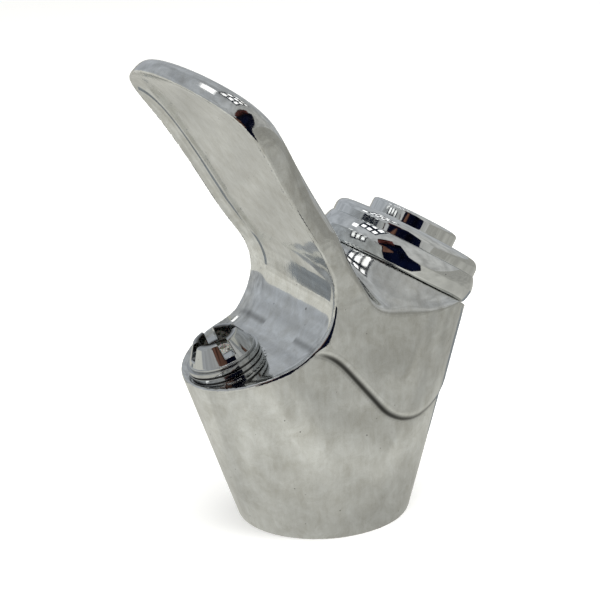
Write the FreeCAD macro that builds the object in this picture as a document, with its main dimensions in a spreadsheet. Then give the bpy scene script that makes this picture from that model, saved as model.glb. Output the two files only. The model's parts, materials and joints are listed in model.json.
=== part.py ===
import FreeCAD, Part
import math
import os
import re
import Sketcher
from FreeCAD import Placement, Rotation, Vector

# Self-closing push-button drinking head for a water cooler.
# Frame: +Z up, the base face at z = 0 with its centre at the origin, the nozzle towards -Y, the button
# towards +Y, and X across. Lengths in millimetres, angles in degrees.

SIZES = {
    # Casting, lower flare
    "base_radius": 20.7,
    "base_flat": 0.6,
    "flare_height": 60.0,
    "flare_top_radius": 21.0,
    "front_slope": 0.33,
    "rear_slope": 0.342,
    # Platform, scoop and mouth guard
    "scoop_radius": 14.5,
    "scoop_reach": 20.9,
    "scoop_level": 58.2,
    "platform_tilt": 20.0,
    "guard_lean": 29.7,
    "guard_straight": 30.0,
    "tip_radius": 90.0,
    "tip_lean": 45.6,
    "root_thickness": 6.8,
    "guard_thickness": 6.4,
    "tip_thickness": 3.4,
    "neck_front_width": 20.9,
    "neck_front_reach": 14.0,
    "neck_rear_reach": 5.0,
    "neck_half_width": 22.4,
    "neck_round": 32.0,
    "dish_depth": 1.7,
    "guard_dish_depth": 2.0,
    "tip_dish_depth": 1.4,
    "dish_rim": 0.9,
    "dish_slope": 3.4,
    "dish_room": 5.0,
    "dish_front_run": 17.3,
    "dish_palm_run": 5.0,
    "dish_shoulder_run": 39.0,
    "dish_shoulder_width": 30.5,
    "dish_corner_run": 45.0,
    "dish_corner_width": 27.9,
    "dish_arch_run": 49.5,
    "dish_top_run": 52.0,
    "palm_foot": 13.6,
    "palm_middle_width": 25.2,
    "palm_round": 33.0,
    "palm_half_width": 27.8,
    "palm_start": 12.6,
    "palm_end": 17.4,
    "shoulder_round": 64.0,
    "shoulder_width": 30.0,
    "shoulder_rise": 34.0,
    "guard_half_width": 31.3,
    "corner_radius": 8.0,
    "spread_angle": 15.0,
    "arch_rise": 53.3,
    "arch_radius": 62.0,
    # Valve boss: a collar on the tilted axis, standing in a skirt with a level shoulder
    "boss_reach": 20.6,
    "boss_level": 56.8,
    "boss_tilt": 32.5,
    "collar_radius": 18.8,
    "collar_depth": 22.0,
    "seat_clear_radius": 25.0,
    "shoulder_level": 53.0,
    "shoulder_fillet": 11.0,
    "skirt_front": 4.0,
    "skirt_foot": 20.0,
    "skirt_slope": 0.334,
    "skirt_inset": 1.0,
    "hem_radius": 12.0,
    "hem_reach": 14.4,
    "hem_centre_level": 38.1,
    "hem_fall": 38.5,
    "hem_lift": 14.0,
    "hem_crest": 46.6,
    "hem_bend": 8.0,
    "hem_overlap": 3.0,
    "spigot_radius": 15.0,
    "spigot_height": 5.0,
    # Valve chamber
    "chamber_radius": 10.9,
    "chamber_depth": 36.5,
    "mouth_radius": 12.6,
    "mouth_depth": 1.0,
    "sleeve_flange": 1.4,
    "clip_thickness": 0.8,
    "clip_bite": 0.8,
    "clip_width": 1.5,
    "clip_opening": 6.0,
    # Inlet, passages and base
    "inlet_radius": 7.4,
    "thread_length": 11.0,
    "screen_pocket_radius": 6.6,
    "inlet_depth": 15.0,
    "inlet_passage_radius": 3.0,
    "inlet_passage_reach": 3.0,
    "inlet_passage_top": 27.0,
    "outlet_radius": 2.2,
    "recess_inner": 13.0,
    "recess_outer": 18.0,
    "recess_depth": 1.5,
    # Nozzle
    "nozzle_distance": 8.5,
    "seat_drop": 1.8,
    "seat_radius": 9.3,
    "well_radius": 5.55,
    "well_depth": 10.0,
    "thread_gap": 0.05,
    "nozzle_gasket_thickness": 0.8,
    "nozzle_gasket_radius": 7.6,
    "ring_height": 3.9,
    "ring_radius": 8.9,
    "groove_depth": 0.45,
    "groove_height": 0.5,
    "crown_flange": 0.7,
    "crown_flange_radius": 8.2,
    "crown_height": 4.3,
    "crown_base_radius": 7.9,
    "crown_top_radius": 5.4,
    "crown_bore": 4.1,
    "crown_bore_depth": 6.4,
    "slot_width": 2.5,
    "slot_depth": 3.2,
    "slot_turn": 86.0,
    "jet_radius": 1.9,
    "former_thickness": 1.8,
    "former_hole": 0.9,
    "former_circle": 2.3,
    "former_holes": 5,
    # Push-button stack, heights from the seat plane of the boss
    "gasket_thickness": 0.5,
    "bead_height": 6.6,
    "bead_top_radius": 18.9,
    "bead_radius": 20.0,
    "bead_foot_radius": 18.6,
    "bead_belly": 3.6,
    "cap_height": 4.0,
    "cap_radius": 18.8,
    "cap_land_radius": 15.0,
    "cap_lip": 2.6,
    "cap_spigot_radius": 16.6,
    "cap_spigot_depth": 1.5,
    "button_radius": 11.1,
    "button_stand": 3.4,
    "button_edge": 0.9,
    "button_flange_gap": 0.4,
    "button_flange": 1.2,
    "button_bore": 9.0,
    "button_roof": 2.2,
    "button_hub_radius": 3.6,
    "button_hub_depth": 8.5,
    "running_gap": 0.08,
    # Cartridge
    "sleeve_length": 30.0,
    "sleeve_cup_radius": 9.0,
    "sleeve_cup_depth": 4.0,
    "sleeve_gap": 0.05,
    "stem_radius": 2.0,
    "stem_gap": 0.05,
    "gland_depth": 8.0,
    "gland_height": 2.0,
    "gland_radius": 4.0,
    "outlet_room_top": 14.0,
    "outlet_room_radius": 6.0,
    "seat_top": 24.0,
    "seat_thickness": 2.0,
    "seat_hole": 3.5,
    "inlet_room_radius": 7.2,
    "waist_top": 16.0,
    "waist_bottom": 22.0,
    "waist_radius": 9.0,
    "port_radius": 1.8,
    "upper_seal_depth": 9.0,
    "lower_seal_depth": 26.5,
    "seal_groove_radius": 9.3,
    "seal_groove_height": 1.9,
    "seal_ring_radius": 10.1,
    "seal_wire": 0.78,
    "gland_ring_radius": 3.0,
    "gland_wire": 0.93,
    # Poppet
    "stem_foot_radius": 1.5,
    "stem_foot_length": 6.5,
    "disc_radius": 5.2,
    "disc_thickness": 2.0,
    "disc_gap": 0.05,
    "disc_stand": 0.6,
    "holder_radius": 6.0,
    "holder_floor": 1.4,
    "nut_size": 5.0,
    "nut_height": 1.8,
    # Spring
    "spring_radius": 6.6,
    "spring_wire": 0.9,
    "spring_turns": 6,
    "spring_closed_pitch": 1.1,
    "washer_thickness": 0.6,
    "washer_inner": 5.4,
    "washer_outer": 8.6,
    # Adjusting screw
    "screw_head": 2.7,
    "screw_radius": 1.0,
    "screw_length": 4.0,
    "screw_gap": 0.1,
    "hex_size": 1.9,
    "hex_depth": 1.6,
    # Strainer
    "strainer_gap": 0.05,
    "strainer_thickness": 0.8,
    "strainer_height": 3.6,
    "strainer_hole": 0.8,
    "strainer_circle": 4.2,
    "strainer_holes": 8,
    "base_gasket_gap": 0.2,
}

doc = FreeCAD.newDocument("water_cooler_faucet")
sheet = doc.addObject("Spreadsheet::Sheet", "sizes")
for row, (name, size) in enumerate(SIZES.items(), start=1):
    sheet.set("A%d" % row, name)
    sheet.set("B%d" % row, str(size))
    sheet.setAlias("B%d" % row, name)
doc.recompute()


def formula(text):
    """A formula of the sizes with the name of the table set before each of them."""
    return re.sub(r"[a-z_]{3,}", lambda w: "sizes." + w.group() if w.group() in SIZES else w.group(), text)


def value(text):
    """The number that a formula of the sizes comes to."""
    return float(sheet.evalExpression(text))


def bind(thing, path, text):
    """Ties a property of an object to a formula of the sizes."""
    thing.setExpression(path, formula(text))


# Places worked out from the sizes
SCOOP_Y = "-scoop_reach"
SHELF_Y = f"({SCOOP_Y} + scoop_radius * sin(platform_tilt))"
SHELF_Z = "(scoop_level - scoop_radius * cos(platform_tilt))"
ROOT_Y = f"({SCOOP_Y} + scoop_radius * cos(guard_lean))"
ROOT_Z = "(scoop_level + scoop_radius * sin(guard_lean))"
BEND_Y = f"({ROOT_Y} - guard_straight * sin(guard_lean))"
BEND_Z = f"({ROOT_Z} + guard_straight * cos(guard_lean))"
TIP_Y = f"({BEND_Y} - tip_radius * (cos(guard_lean) - cos(tip_lean)))"
TIP_Z = f"({BEND_Z} + tip_radius * (sin(tip_lean) - sin(guard_lean)))"
NOZZLE_Y = f"({SHELF_Y} - nozzle_distance * cos(platform_tilt) + seat_drop * sin(platform_tilt))"
NOZZLE_Z = f"({SHELF_Z} - nozzle_distance * sin(platform_tilt) - seat_drop * cos(platform_tilt))"
CROWN_FOOT = "(ring_height + crown_flange)"
CROWN_TOP = f"({CROWN_FOOT} + crown_height)"
STACK_TOP = "(bead_height + cap_height)"
BUTTON_TOP = f"({STACK_TOP} + button_stand)"
FLANGE_TOP = f"({STACK_TOP} - cap_lip)"
BUTTON_FLANGE = "(mouth_radius - button_flange_gap)"
CLIP_FOOT = "(sleeve_flange - mouth_depth)"
ROOF = f"({BUTTON_TOP} - button_roof)"
SEAT_FACE = "(seat_top + seat_thickness)"
WASHER_TOP = "(washer_thickness - sleeve_cup_depth)"


def place(thing, frame):
    """Stands an object in the frame of the base, the boss or the nozzle."""
    if frame == "boss":
        thing.Placement = Placement(Vector(0, 1, 1), Rotation(Vector(1, 0, 0), -1))
        bind(thing, "Placement.Base.y", "boss_reach")
        bind(thing, "Placement.Base.z", "boss_level")
        bind(thing, "Placement.Rotation.Angle", "-boss_tilt")
    if frame == "nozzle":
        thing.Placement = Placement(Vector(0, 1, 1), Rotation(Vector(1, 0, 0), 1))
        bind(thing, "Placement.Base.y", NOZZLE_Y)
        bind(thing, "Placement.Base.z", NOZZLE_Z)
        bind(thing, "Placement.Rotation.Angle", "platform_tilt")


def origin_plane(body, role):
    return next(f for f in body.Origin.OriginFeatures if f.Role == role)


def sketch_on(body, role, name):
    sketch = body.newObject("Sketcher::SketchObject", name)
    sketch.AttachmentSupport = [(origin_plane(body, role), "")]
    sketch.MapMode = "FlatFace"
    return sketch


def pin_point(sketch, geo, pos, across, up):
    """Ties one sketch point to formulas of the sizes."""
    for kind, text, axis in (("DistanceX", across, -2), ("DistanceY", up, -1)):
        if text == "0":
            sketch.addConstraint(Sketcher.Constraint("PointOnObject", geo, pos, axis))
            continue
        number = sketch.addConstraint(Sketcher.Constraint(kind, -1, 1, geo, pos, value(text)))
        bind(sketch, f"Constraints[{number}]", text)


def arc_centre(start, end, radius):
    """The centre of an arc, on the left of the way from start to end where the radius is positive."""
    half = (end - start) * 0.5
    rise = math.sqrt(max(radius * radius - half.Length ** 2, 0.0))
    left = Vector(-half.y, half.x, 0).normalize()
    return start + half + left * (rise if radius > 0 else -rise)


def draw_outline(sketch, corners):
    """A closed outline. A corner is (across, up), or (across, up, radius) where an arc leads to the next one."""
    points = [Vector(value(c[0]), value(c[1]), 0) for c in corners]
    ends = []
    for i, corner in enumerate(corners):
        start, end = points[i], points[(i + 1) % len(points)]
        if len(corner) == 2:
            geo = sketch.addGeometry(Part.LineSegment(start, end))
            ends.append((geo, 1, 2))
            continue
        radius = value(corner[2])
        centre = arc_centre(start, end, radius)
        first, last = (start, end) if radius > 0 else (end, start)
        circle = Part.Circle(centre, Vector(0, 0, 1), abs(radius))
        angles = [math.atan2(p.y - centre.y, p.x - centre.x) for p in (first, last)]
        geo = sketch.addGeometry(Part.ArcOfCircle(circle, angles[0], angles[1]))
        ends.append((geo, 1, 2) if radius > 0 else (geo, 2, 1))
    for i, (geo, head, tail) in enumerate(ends):
        following, following_head, _ = ends[(i + 1) % len(ends)]
        sketch.addConstraint(Sketcher.Constraint("Coincident", geo, tail, following, following_head))
        pin_point(sketch, geo, head, corners[i][0], corners[i][1])
    for (geo, _, _), corner in zip(ends, corners):
        if len(corner) == 3:
            number = sketch.addConstraint(Sketcher.Constraint("Radius", geo, abs(value(corner[2]))))
            bind(sketch, f"Constraints[{number}]", f"abs({corner[2]})")


def draw_circle(sketch, radius, up="0", across="0"):
    centre = Vector(value(across), value(up), 0)
    geo = sketch.addGeometry(Part.Circle(centre, Vector(0, 0, 1), value(radius)))
    pin_point(sketch, geo, 3, across, up)
    number = sketch.addConstraint(Sketcher.Constraint("Radius", geo, value(radius)))
    bind(sketch, f"Constraints[{number}]", radius)


def draw_hexagon(sketch, flats):
    """A hexagon about the origin, given the distance between its flats."""
    across, up = f"{flats} / 2", f"{flats} / sqrt(3)"
    draw_outline(sketch, [(across, f"-{up} / 2"), (across, f"{up} / 2"), ("0", up),
                          ("-" + across, f"{up} / 2"), ("-" + across, f"-{up} / 2"), ("0", f"-({up})")])


def new_body(label):
    body = doc.addObject("PartDesign::Body", label)
    body.Label = label
    return body


def turned(label, frame, corners):
    """A piece turned about the Z axis of its frame from an outline of (radius, height) corners."""
    body = new_body(label)
    sketch = sketch_on(body, "XZ_Plane", label + "_outline")
    draw_outline(sketch, corners)
    turn = body.newObject("PartDesign::Revolution", label + "_turn")
    turn.Profile = sketch
    turn.ReferenceAxis = (sketch, ["V_Axis"])
    turn.Angle = 360
    place(body, frame)
    return body


def plain_ring(label, frame, inner, outer, foot, top):
    return turned(label, frame, [(inner, foot), (outer, foot), (outer, top), (inner, top)])


def plain_rod(label, frame, radius, foot, top):
    return turned(label, frame, [("0", foot), (radius, foot), (radius, top), ("0", top)])


def slab(label, corners, width):
    """A side outline in Y and Z, given its width across X on both sides alike."""
    body = new_body(label)
    sketch = sketch_on(body, "YZ_Plane", label + "_outline")
    draw_outline(sketch, corners)
    pad = body.newObject("PartDesign::Pad", label + "_pad")
    pad.Profile = sketch
    pad.SideType = "Symmetric"
    bind(pad, "Length", width)
    return body


def spread_round(body, feature, copies, angle=360):
    """Repeats a feature round the Z axis of its body."""
    doc.recompute()
    spread = body.newObject("PartDesign::PolarPattern", feature.Name + "_spread")
    spread.Originals = [feature]
    spread.Axis = (origin_plane(body, "Z_Axis"), [""])
    spread.Angle = angle
    bind(spread, "Occurrences", copies)
    body.Tip = spread


def drilled(body, name, role, radius, length, across="0", up="0", copies="1", angle=360):
    """Holes through a body along the normal of an origin plane, both ways, spread round the axis."""
    sketch = sketch_on(body, role, name + "_circle")
    draw_circle(sketch, radius, up, across)
    hole = body.newObject("PartDesign::Pocket", name)
    hole.Profile = sketch
    hole.SideType = "Symmetric"
    bind(hole, "Length", length)
    spread_round(body, hole, copies, angle)


def join(label, pieces):
    fused = doc.addObject("Part::MultiFuse", label)
    fused.Shapes = pieces
    fused.Refine = True
    return fused


def shared(label, first, second):
    common = doc.addObject("Part::MultiCommon", label)
    common.Shapes = [first, second]
    return common


def less(label, base, tool):
    cut = doc.addObject("Part::Cut", label)
    cut.Base = base
    cut.Tool = tool
    cut.Label = label
    return cut


def racetrack(radius, front, rear):
    """A long round section in X and Y: two half circles of one radius, joined by straight sides."""
    return [
        (f"-({radius})", front, radius), ("0", f"({front}) - ({radius})", radius), (radius, front),
        (radius, rear, radius), ("0", f"({rear}) + ({radius})", radius), (f"-({radius})", rear),
    ]


def long_round(label, radius, sections):
    """A solid through long round sections, each given as level, front centre and rear centre."""
    body = new_body(label)
    drawn = []
    for number, (level, front, rear) in enumerate(sections):
        sketch = sketch_on(body, "XY_Plane", f"{label}_section_{number}")
        bind(sketch, "AttachmentOffset.Base.z", level)
        draw_outline(sketch, racetrack(radius if isinstance(radius, str) else radius[number], front, rear))
        drawn.append(sketch)
    loft = body.newObject("PartDesign::AdditiveLoft", label + "_loft")
    loft.Profile = drawn[0]
    loft.Sections = drawn[1:]
    loft.Ruled = True
    return body


def lower_flare():
    """The round base opening upwards into a long oval, which carries the nozzle and the boss."""
    return long_round("lower_flare", ("base_radius", "flare_top_radius"), [
        ("0", "-base_flat / 2", "base_flat / 2"),
        ("flare_height", "-front_slope * flare_height", "rear_slope * flare_height"),
    ])


def hem_point(radius, angle_text, side):
    """A point of the round of the skirt's hem: on its front at an angle below level, or on its rear."""
    if side == "front":
        return (f"hem_reach - ({radius}) * cos({angle_text})",
                f"hem_centre_level - ({radius}) * sin({angle_text})")
    return (f"hem_reach + ({radius}) * sin({angle_text})", f"hem_centre_level - ({radius}) * cos({angle_text})")


FAR = "60"
HEM_FRONT = hem_point("hem_radius", "hem_fall", "front")
HEM_REAR = hem_point("hem_radius", "hem_lift", "rear")
HEM_REAR_RISE = f"({HEM_REAR[1]} + ({FAR} - ({HEM_REAR[0]})) * tan(hem_lift))"
CREST_Y = f"({HEM_FRONT[0]} - (hem_crest - ({HEM_FRONT[1]})) * tan(hem_fall))"
CREST_RUN = "(hem_bend * tan((90 - hem_fall) / 2))"
BACK_Y = f"({ROOT_Y} + root_thickness * cos(guard_lean))"
BACK_Z = f"({ROOT_Z} + root_thickness * sin(guard_lean))"
SHOULDER_Y = f"({BACK_Y} + ({BACK_Z} - shoulder_level) * tan(guard_lean))"
SHOULDER_RUN = "(shoulder_fillet * tan((90 - guard_lean) / 2))"


def flare_region():
    """Everything below a line a little inside the skirt, so that the flare ends hidden under it."""
    inner = "(hem_radius - hem_overlap)"
    return slab("flare_region", [
        ("-" + FAR, "-1"),
        (FAR, "-1"),
        (FAR, f"{HEM_REAR_RISE} + hem_overlap / 3"),
        (HEM_REAR[0], f"{HEM_REAR[1]} + hem_overlap / 3"),
        (*hem_point(inner, "0", "rear"), f"-{inner}"),
        hem_point(inner, "hem_fall", "front"),
        (f"{CREST_Y} + hem_overlap", "hem_crest + 1.5"),
        ("-" + FAR, "hem_crest + 1.5"),
    ], "base_radius * 4")


def skirt():
    """The skirt round the boss and the neck under the guard: one long round form with a level shoulder."""
    side = slab("skirt_side", [
        (f"{SHELF_Y} - 2", "hem_crest"),
        (f"{CREST_Y} - {CREST_RUN}", "hem_crest", "-hem_bend"),
        (f"{CREST_Y} + {CREST_RUN} * sin(hem_fall)", f"hem_crest - {CREST_RUN} * cos(hem_fall)"),
        (*HEM_FRONT, "hem_radius"),
        HEM_REAR,
        (FAR, HEM_REAR_RISE),
        (FAR, "shoulder_level"),
        (f"{SHOULDER_Y} + {SHOULDER_RUN}", "shoulder_level", "-shoulder_fillet"),
        (f"{SHOULDER_Y} - {SHOULDER_RUN} * sin(guard_lean)",
         f"shoulder_level + {SHOULDER_RUN} * cos(guard_lean)"),
        (BACK_Y, BACK_Z),
        (ROOT_Y, ROOT_Z),
        (f"{SHELF_Y} - 2", "scoop_level"),
    ], "base_radius * 4")
    front = new_body("neck_plan")
    sketch = sketch_on(front, "XY_Plane", "neck_plan_outline")
    draw_outline(sketch, [
        ("-neck_half_width", "skirt_front"), ("-neck_half_width", "-neck_rear_reach", "neck_round"),
        ("-neck_front_width", "-neck_front_reach"), ("-neck_front_width", "-hem_reach * 2"),
        ("neck_front_width", "-hem_reach * 2"), ("neck_front_width", "-neck_front_reach", "neck_round"),
        ("neck_half_width", "-neck_rear_reach"), ("neck_half_width", "skirt_front"),
    ])
    pad = front.newObject("PartDesign::Pad", "neck_plan_pad")
    pad.Profile = sketch
    bind(pad, "Length", "boss_level * 2")
    rear = long_round("skirt_plan", "neck_half_width", [
        ("skirt_foot", "skirt_front", "skirt_slope * skirt_foot - skirt_inset"),
        ("flare_height", "skirt_front", "skirt_slope * flare_height - skirt_inset"),
    ])
    room = plain_rod("seat_room", "boss", "seat_clear_radius", "0", "boss_level")
    return less("skirt", shared("skirt_raw", side, join("skirt_plans", [front, rear])), room)


def scoop_space():
    """The room in front of the guard and above the platform, cut out of flare and neck."""
    return slab("scoop_space", [
        (f"{SHELF_Y} - 40 * cos(platform_tilt)", f"{SHELF_Z} - 40 * sin(platform_tilt)"),
        (SHELF_Y, SHELF_Z, "scoop_radius"),
        (ROOT_Y, ROOT_Z),
        (BEND_Y, BEND_Z),
        (f"{BEND_Y} - 60", BEND_Z),
    ], "base_radius * 4")


def guard_band():
    """Side section of the mouth guard: root, straight and the tip that leans further forward."""
    lean = ("cos(guard_lean)", "sin(guard_lean)")
    return slab("guard_band", [
        (f"{SCOOP_Y} + scoop_radius", "scoop_level", "scoop_radius"),
        (ROOT_Y, ROOT_Z),
        (BEND_Y, BEND_Z, "tip_radius"),
        (TIP_Y, TIP_Z),
        (f"{TIP_Y} + tip_thickness * cos(tip_lean)", f"{TIP_Z} + tip_thickness * sin(tip_lean)",
         "-(tip_radius - 12)"),
        (f"{BEND_Y} + guard_thickness * {lean[0]}", f"{BEND_Z} + guard_thickness * {lean[1]}"),
        (f"{ROOT_Y} + root_thickness * {lean[0]}", f"{ROOT_Z} + root_thickness * {lean[1]}"),
        (f"{ROOT_Y} + root_thickness * {lean[0]} + 5", f"{ROOT_Z} - 9"),
    ], "guard_half_width * 3")


def dish_section(number, turn, y, z, width, depth):
    """One cross-section of the dish: flat floor, sloping sides, and room in front of the face."""
    sketch = doc.addObject("Sketcher::SketchObject", f"dish_section_{number}")
    sketch.Placement = Placement(Vector(0, 1, 1), Rotation(Vector(1, 0, 0), math.copysign(1, value(turn))))
    bind(sketch, "Placement.Base.y", y)
    bind(sketch, "Placement.Base.z", z)
    bind(sketch, "Placement.Rotation.Angle", turn)
    face, floor = f"({width} - dish_rim)", f"({width} - dish_rim - dish_slope)"
    draw_outline(sketch, [
        (f"-{face}", "-dish_room"), (face, "-dish_room"), (face, "0"), (floor, depth), (f"-{floor}", depth),
        (f"-{face}", "0"),
    ])
    return sketch


def platform_station(share):
    """Where the dish crosses the platform, at a share of its run before the scoop, and how wide it is."""
    y = f"({SHELF_Y} - {share} * dish_front_run * cos(platform_tilt))"
    z = f"({SHELF_Z} - {share} * dish_front_run * sin(platform_tilt))"
    return "(platform_tilt - 90)", y, z, f"sqrt(base_radius ^ 2 - ({y} + front_slope * {z}) ^ 2)", "dish_depth"


def scoop_station(share):
    turn = f"(platform_tilt - 90 + {share} * (90 - platform_tilt + guard_lean))"
    y = f"({SCOOP_Y} + scoop_radius * cos({turn}))"
    z = f"(scoop_level + scoop_radius * sin({turn}))"
    width = f"(neck_front_width + {share} ^ 2 * (palm_middle_width - neck_front_width))"
    return turn, y, z, width, "dish_depth"


def guard_station(run, width):
    y = f"({ROOT_Y} - {run} * sin(guard_lean))"
    return "guard_lean", y, f"({ROOT_Z} + {run} * cos(guard_lean))", width, "guard_dish_depth"


def tip_station(run, width):
    turn = f"(guard_lean + ({run} - guard_straight) / tip_radius * 180 / pi)"
    y = f"({BEND_Y} - tip_radius * (cos(guard_lean) - cos({turn})))"
    z = f"({BEND_Z} + tip_radius * (sin({turn}) - sin(guard_lean)))"
    return turn, y, z, width, "tip_dish_depth"


def arch_width(run):
    return f"sqrt(arch_radius ^ 2 - ({run} + arch_radius - arch_rise) ^ 2)"


def dish_space():
    """The shallow dish in platform, scoop and guard, inside a rim of even width."""
    stations = [
        *(platform_station(share) for share in ("1", "0.9", "0.75", "0.5", "0.25", "0.05")),
        *(scoop_station(share) for share in ("0.06", "0.2", "0.34", "0.48", "0.62", "0.76", "0.9")),
        guard_station("dish_palm_run", "palm_half_width - 1"),
        guard_station("palm_end", "palm_half_width"),
        guard_station("guard_straight", "shoulder_width - 0.6"),
        tip_station("dish_shoulder_run", "dish_shoulder_width"),
        tip_station("dish_corner_run", "dish_corner_width"),
        tip_station("dish_arch_run", arch_width("dish_arch_run")),
        tip_station("dish_top_run", arch_width("dish_top_run")),
    ]
    loft = doc.addObject("Part::Loft", "dish_space")
    loft.Sections = [dish_section(number, *station) for number, station in enumerate(stations)]
    loft.Solid = True
    loft.Ruled = True
    return loft


def guard_outline():
    """The paddle outline of the guard, seen square to its straight part and cut right through."""
    body = new_body("guard_outline")
    sketch = sketch_on(body, "XZ_Plane", "guard_face")
    centre = ("(guard_half_width - corner_radius)",
              "(sqrt((arch_radius - corner_radius) ^ 2 - (guard_half_width - corner_radius) ^ 2)"
              " - arch_radius + arch_rise)")
    reach = "arch_radius / (arch_radius - corner_radius)"
    arch_end = (f"({centre[0]} * {reach})",
                f"(({centre[1]} + arch_radius - arch_rise) * {reach} - arch_radius + arch_rise)")
    right = [
        ("neck_half_width", "-palm_foot * 2"),
        ("neck_half_width", "-palm_foot", "-palm_round"),
        ("palm_middle_width", "0", "palm_round"),
        ("palm_half_width", "palm_start"),
        ("palm_half_width", "palm_end", "-shoulder_round"),
        ("shoulder_width", "shoulder_rise"),
        (f"{centre[0]} + corner_radius * cos(spread_angle)",
         f"{centre[1]} - corner_radius * sin(spread_angle)", "corner_radius"),
        (*arch_end, "arch_radius"),
    ]
    left = [(f"-{arch_end[0]}", arch_end[1], "corner_radius"), (f"-({right[6][0]})", right[6][1]),
            ("-shoulder_width", "shoulder_rise", "-shoulder_round"), ("-palm_half_width", "palm_end"),
            ("-palm_half_width", "palm_start", "palm_round"), ("-palm_middle_width", "0", "-palm_round"),
            ("-neck_half_width", "-palm_foot"), ("-neck_half_width", "-palm_foot * 2")]
    draw_outline(sketch, right + left)
    pad = body.newObject("PartDesign::Pad", "guard_outline_pad")
    pad.Profile = sketch
    pad.SideType = "Symmetric"
    bind(pad, "Length", "guard_straight * 3")
    body.Placement = Placement(Vector(0, 1, 1), Rotation(Vector(1, 0, 0), 1))
    bind(body, "Placement.Base.y", ROOT_Y)
    bind(body, "Placement.Base.z", ROOT_Z)
    bind(body, "Placement.Rotation.Angle", "guard_lean")
    return body


def faucet_body():
    """The casting: flare, skirt, collar and guard in one, with its dish and bores."""
    flare = shared("flare_part", lower_flare(), flare_region())
    trunk = less("trunk", join("trunk_raw", [flare, skirt()]), scoop_space())
    guard = shared("guard_part", guard_band(), guard_outline())
    collar = plain_rod("collar", "boss", "collar_radius", "-collar_depth", "0")
    spigot = plain_rod("spigot", "boss", "spigot_radius", "-collar_depth / 4", "spigot_height")
    solid = less("casting_raw", join("casting_forms", [trunk, guard, collar, spigot]), dish_space())
    chamber = turned("chamber", "boss", [
        ("0", "-chamber_depth"), ("chamber_radius", "-chamber_depth"), ("chamber_radius", "-mouth_depth"),
        ("mouth_radius", "-mouth_depth"), ("mouth_radius", CLIP_FOOT),
        ("mouth_radius + clip_bite", CLIP_FOOT), ("mouth_radius + clip_bite", f"{CLIP_FOOT} + clip_thickness"),
        ("mouth_radius", f"{CLIP_FOOT} + clip_thickness"), ("mouth_radius", "spigot_height + 1"),
        ("0", "spigot_height + 1"),
    ])
    inlet = turned("inlet_bore", "base", [
        ("0", "-1"), ("inlet_radius", "-1"), ("inlet_radius", "thread_length"),
        ("screen_pocket_radius", "thread_length"), ("screen_pocket_radius", "inlet_depth"), ("0", "inlet_depth"),
    ])
    rise = plain_rod("inlet_passage", "base", "inlet_passage_radius", "inlet_depth - 1", "inlet_passage_top")
    bind(rise, "Placement.Base.y", "inlet_passage_reach")
    well = turned("nozzle_well", "nozzle", [
        ("0", "-well_depth"), ("well_radius", "-well_depth"), ("well_radius", "0"), ("seat_radius", "0"),
        ("seat_radius", "seat_drop * 2"), ("0", "seat_drop * 2"),
    ])
    recess = plain_ring("base_recess", "base", "recess_inner", "recess_outer", "-1", "recess_depth")
    cutters = join("casting_bores", [chamber, inlet, rise, well, recess, outlet_passage()])
    return less("faucet_body", solid, cutters)


def outlet_passage():
    """The cored passage from the outlet room of the cartridge to the foot of the nozzle well."""
    start = (f"({NOZZLE_Y} + (well_depth - outlet_radius) * sin(platform_tilt))",
             f"({NOZZLE_Z} - (well_depth - outlet_radius) * cos(platform_tilt))")
    middle = "((waist_top + waist_bottom) / 2)"
    end = (f"(boss_reach - {middle} * sin(boss_tilt))", f"(boss_level - {middle} * cos(boss_tilt))")
    across = f"({end[0]} - {start[0]})"
    up = f"({end[1]} - {start[1]})"
    rod = doc.addObject("Part::Cylinder", "outlet_passage")
    bind(rod, "Radius", "outlet_radius")
    bind(rod, "Height", f"sqrt({across} ^ 2 + {up} ^ 2)")
    rod.Placement = Placement(Vector(0, 1, 1), Rotation(Vector(1, 0, 0), -1))
    bind(rod, "Placement.Base.y", start[0])
    bind(rod, "Placement.Base.z", start[1])
    bind(rod, "Placement.Rotation.Angle", f"-atan2({across}; {up})")
    return rod


def nozzle_gasket():
    return plain_ring("nozzle_gasket", "nozzle", "well_radius + thread_gap", "nozzle_gasket_radius", "0",
                      "nozzle_gasket_thickness")


def nozzle_ring():
    """Clamp ring with two turned grooves and a pocket underneath for the gasket."""
    bore = "well_radius + thread_gap"
    pocket = "nozzle_gasket_radius + thread_gap"
    land = "((ring_height - 2 * groove_height) / 3)"
    corners = [(bore, "nozzle_gasket_thickness"), (pocket, "nozzle_gasket_thickness"), (pocket, "0"),
               ("ring_radius", "0")]
    for number in (1, 2):
        foot = f"{number} * {land} + {number - 1} * groove_height"
        corners += [("ring_radius", foot), ("ring_radius - groove_depth", foot),
                    ("ring_radius - groove_depth", f"{foot} + groove_height"),
                    ("ring_radius", f"{foot} + groove_height")]
    corners += [("ring_radius", "ring_height"), (bore, "ring_height")]
    return turned("nozzle_ring", "nozzle", corners)


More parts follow.
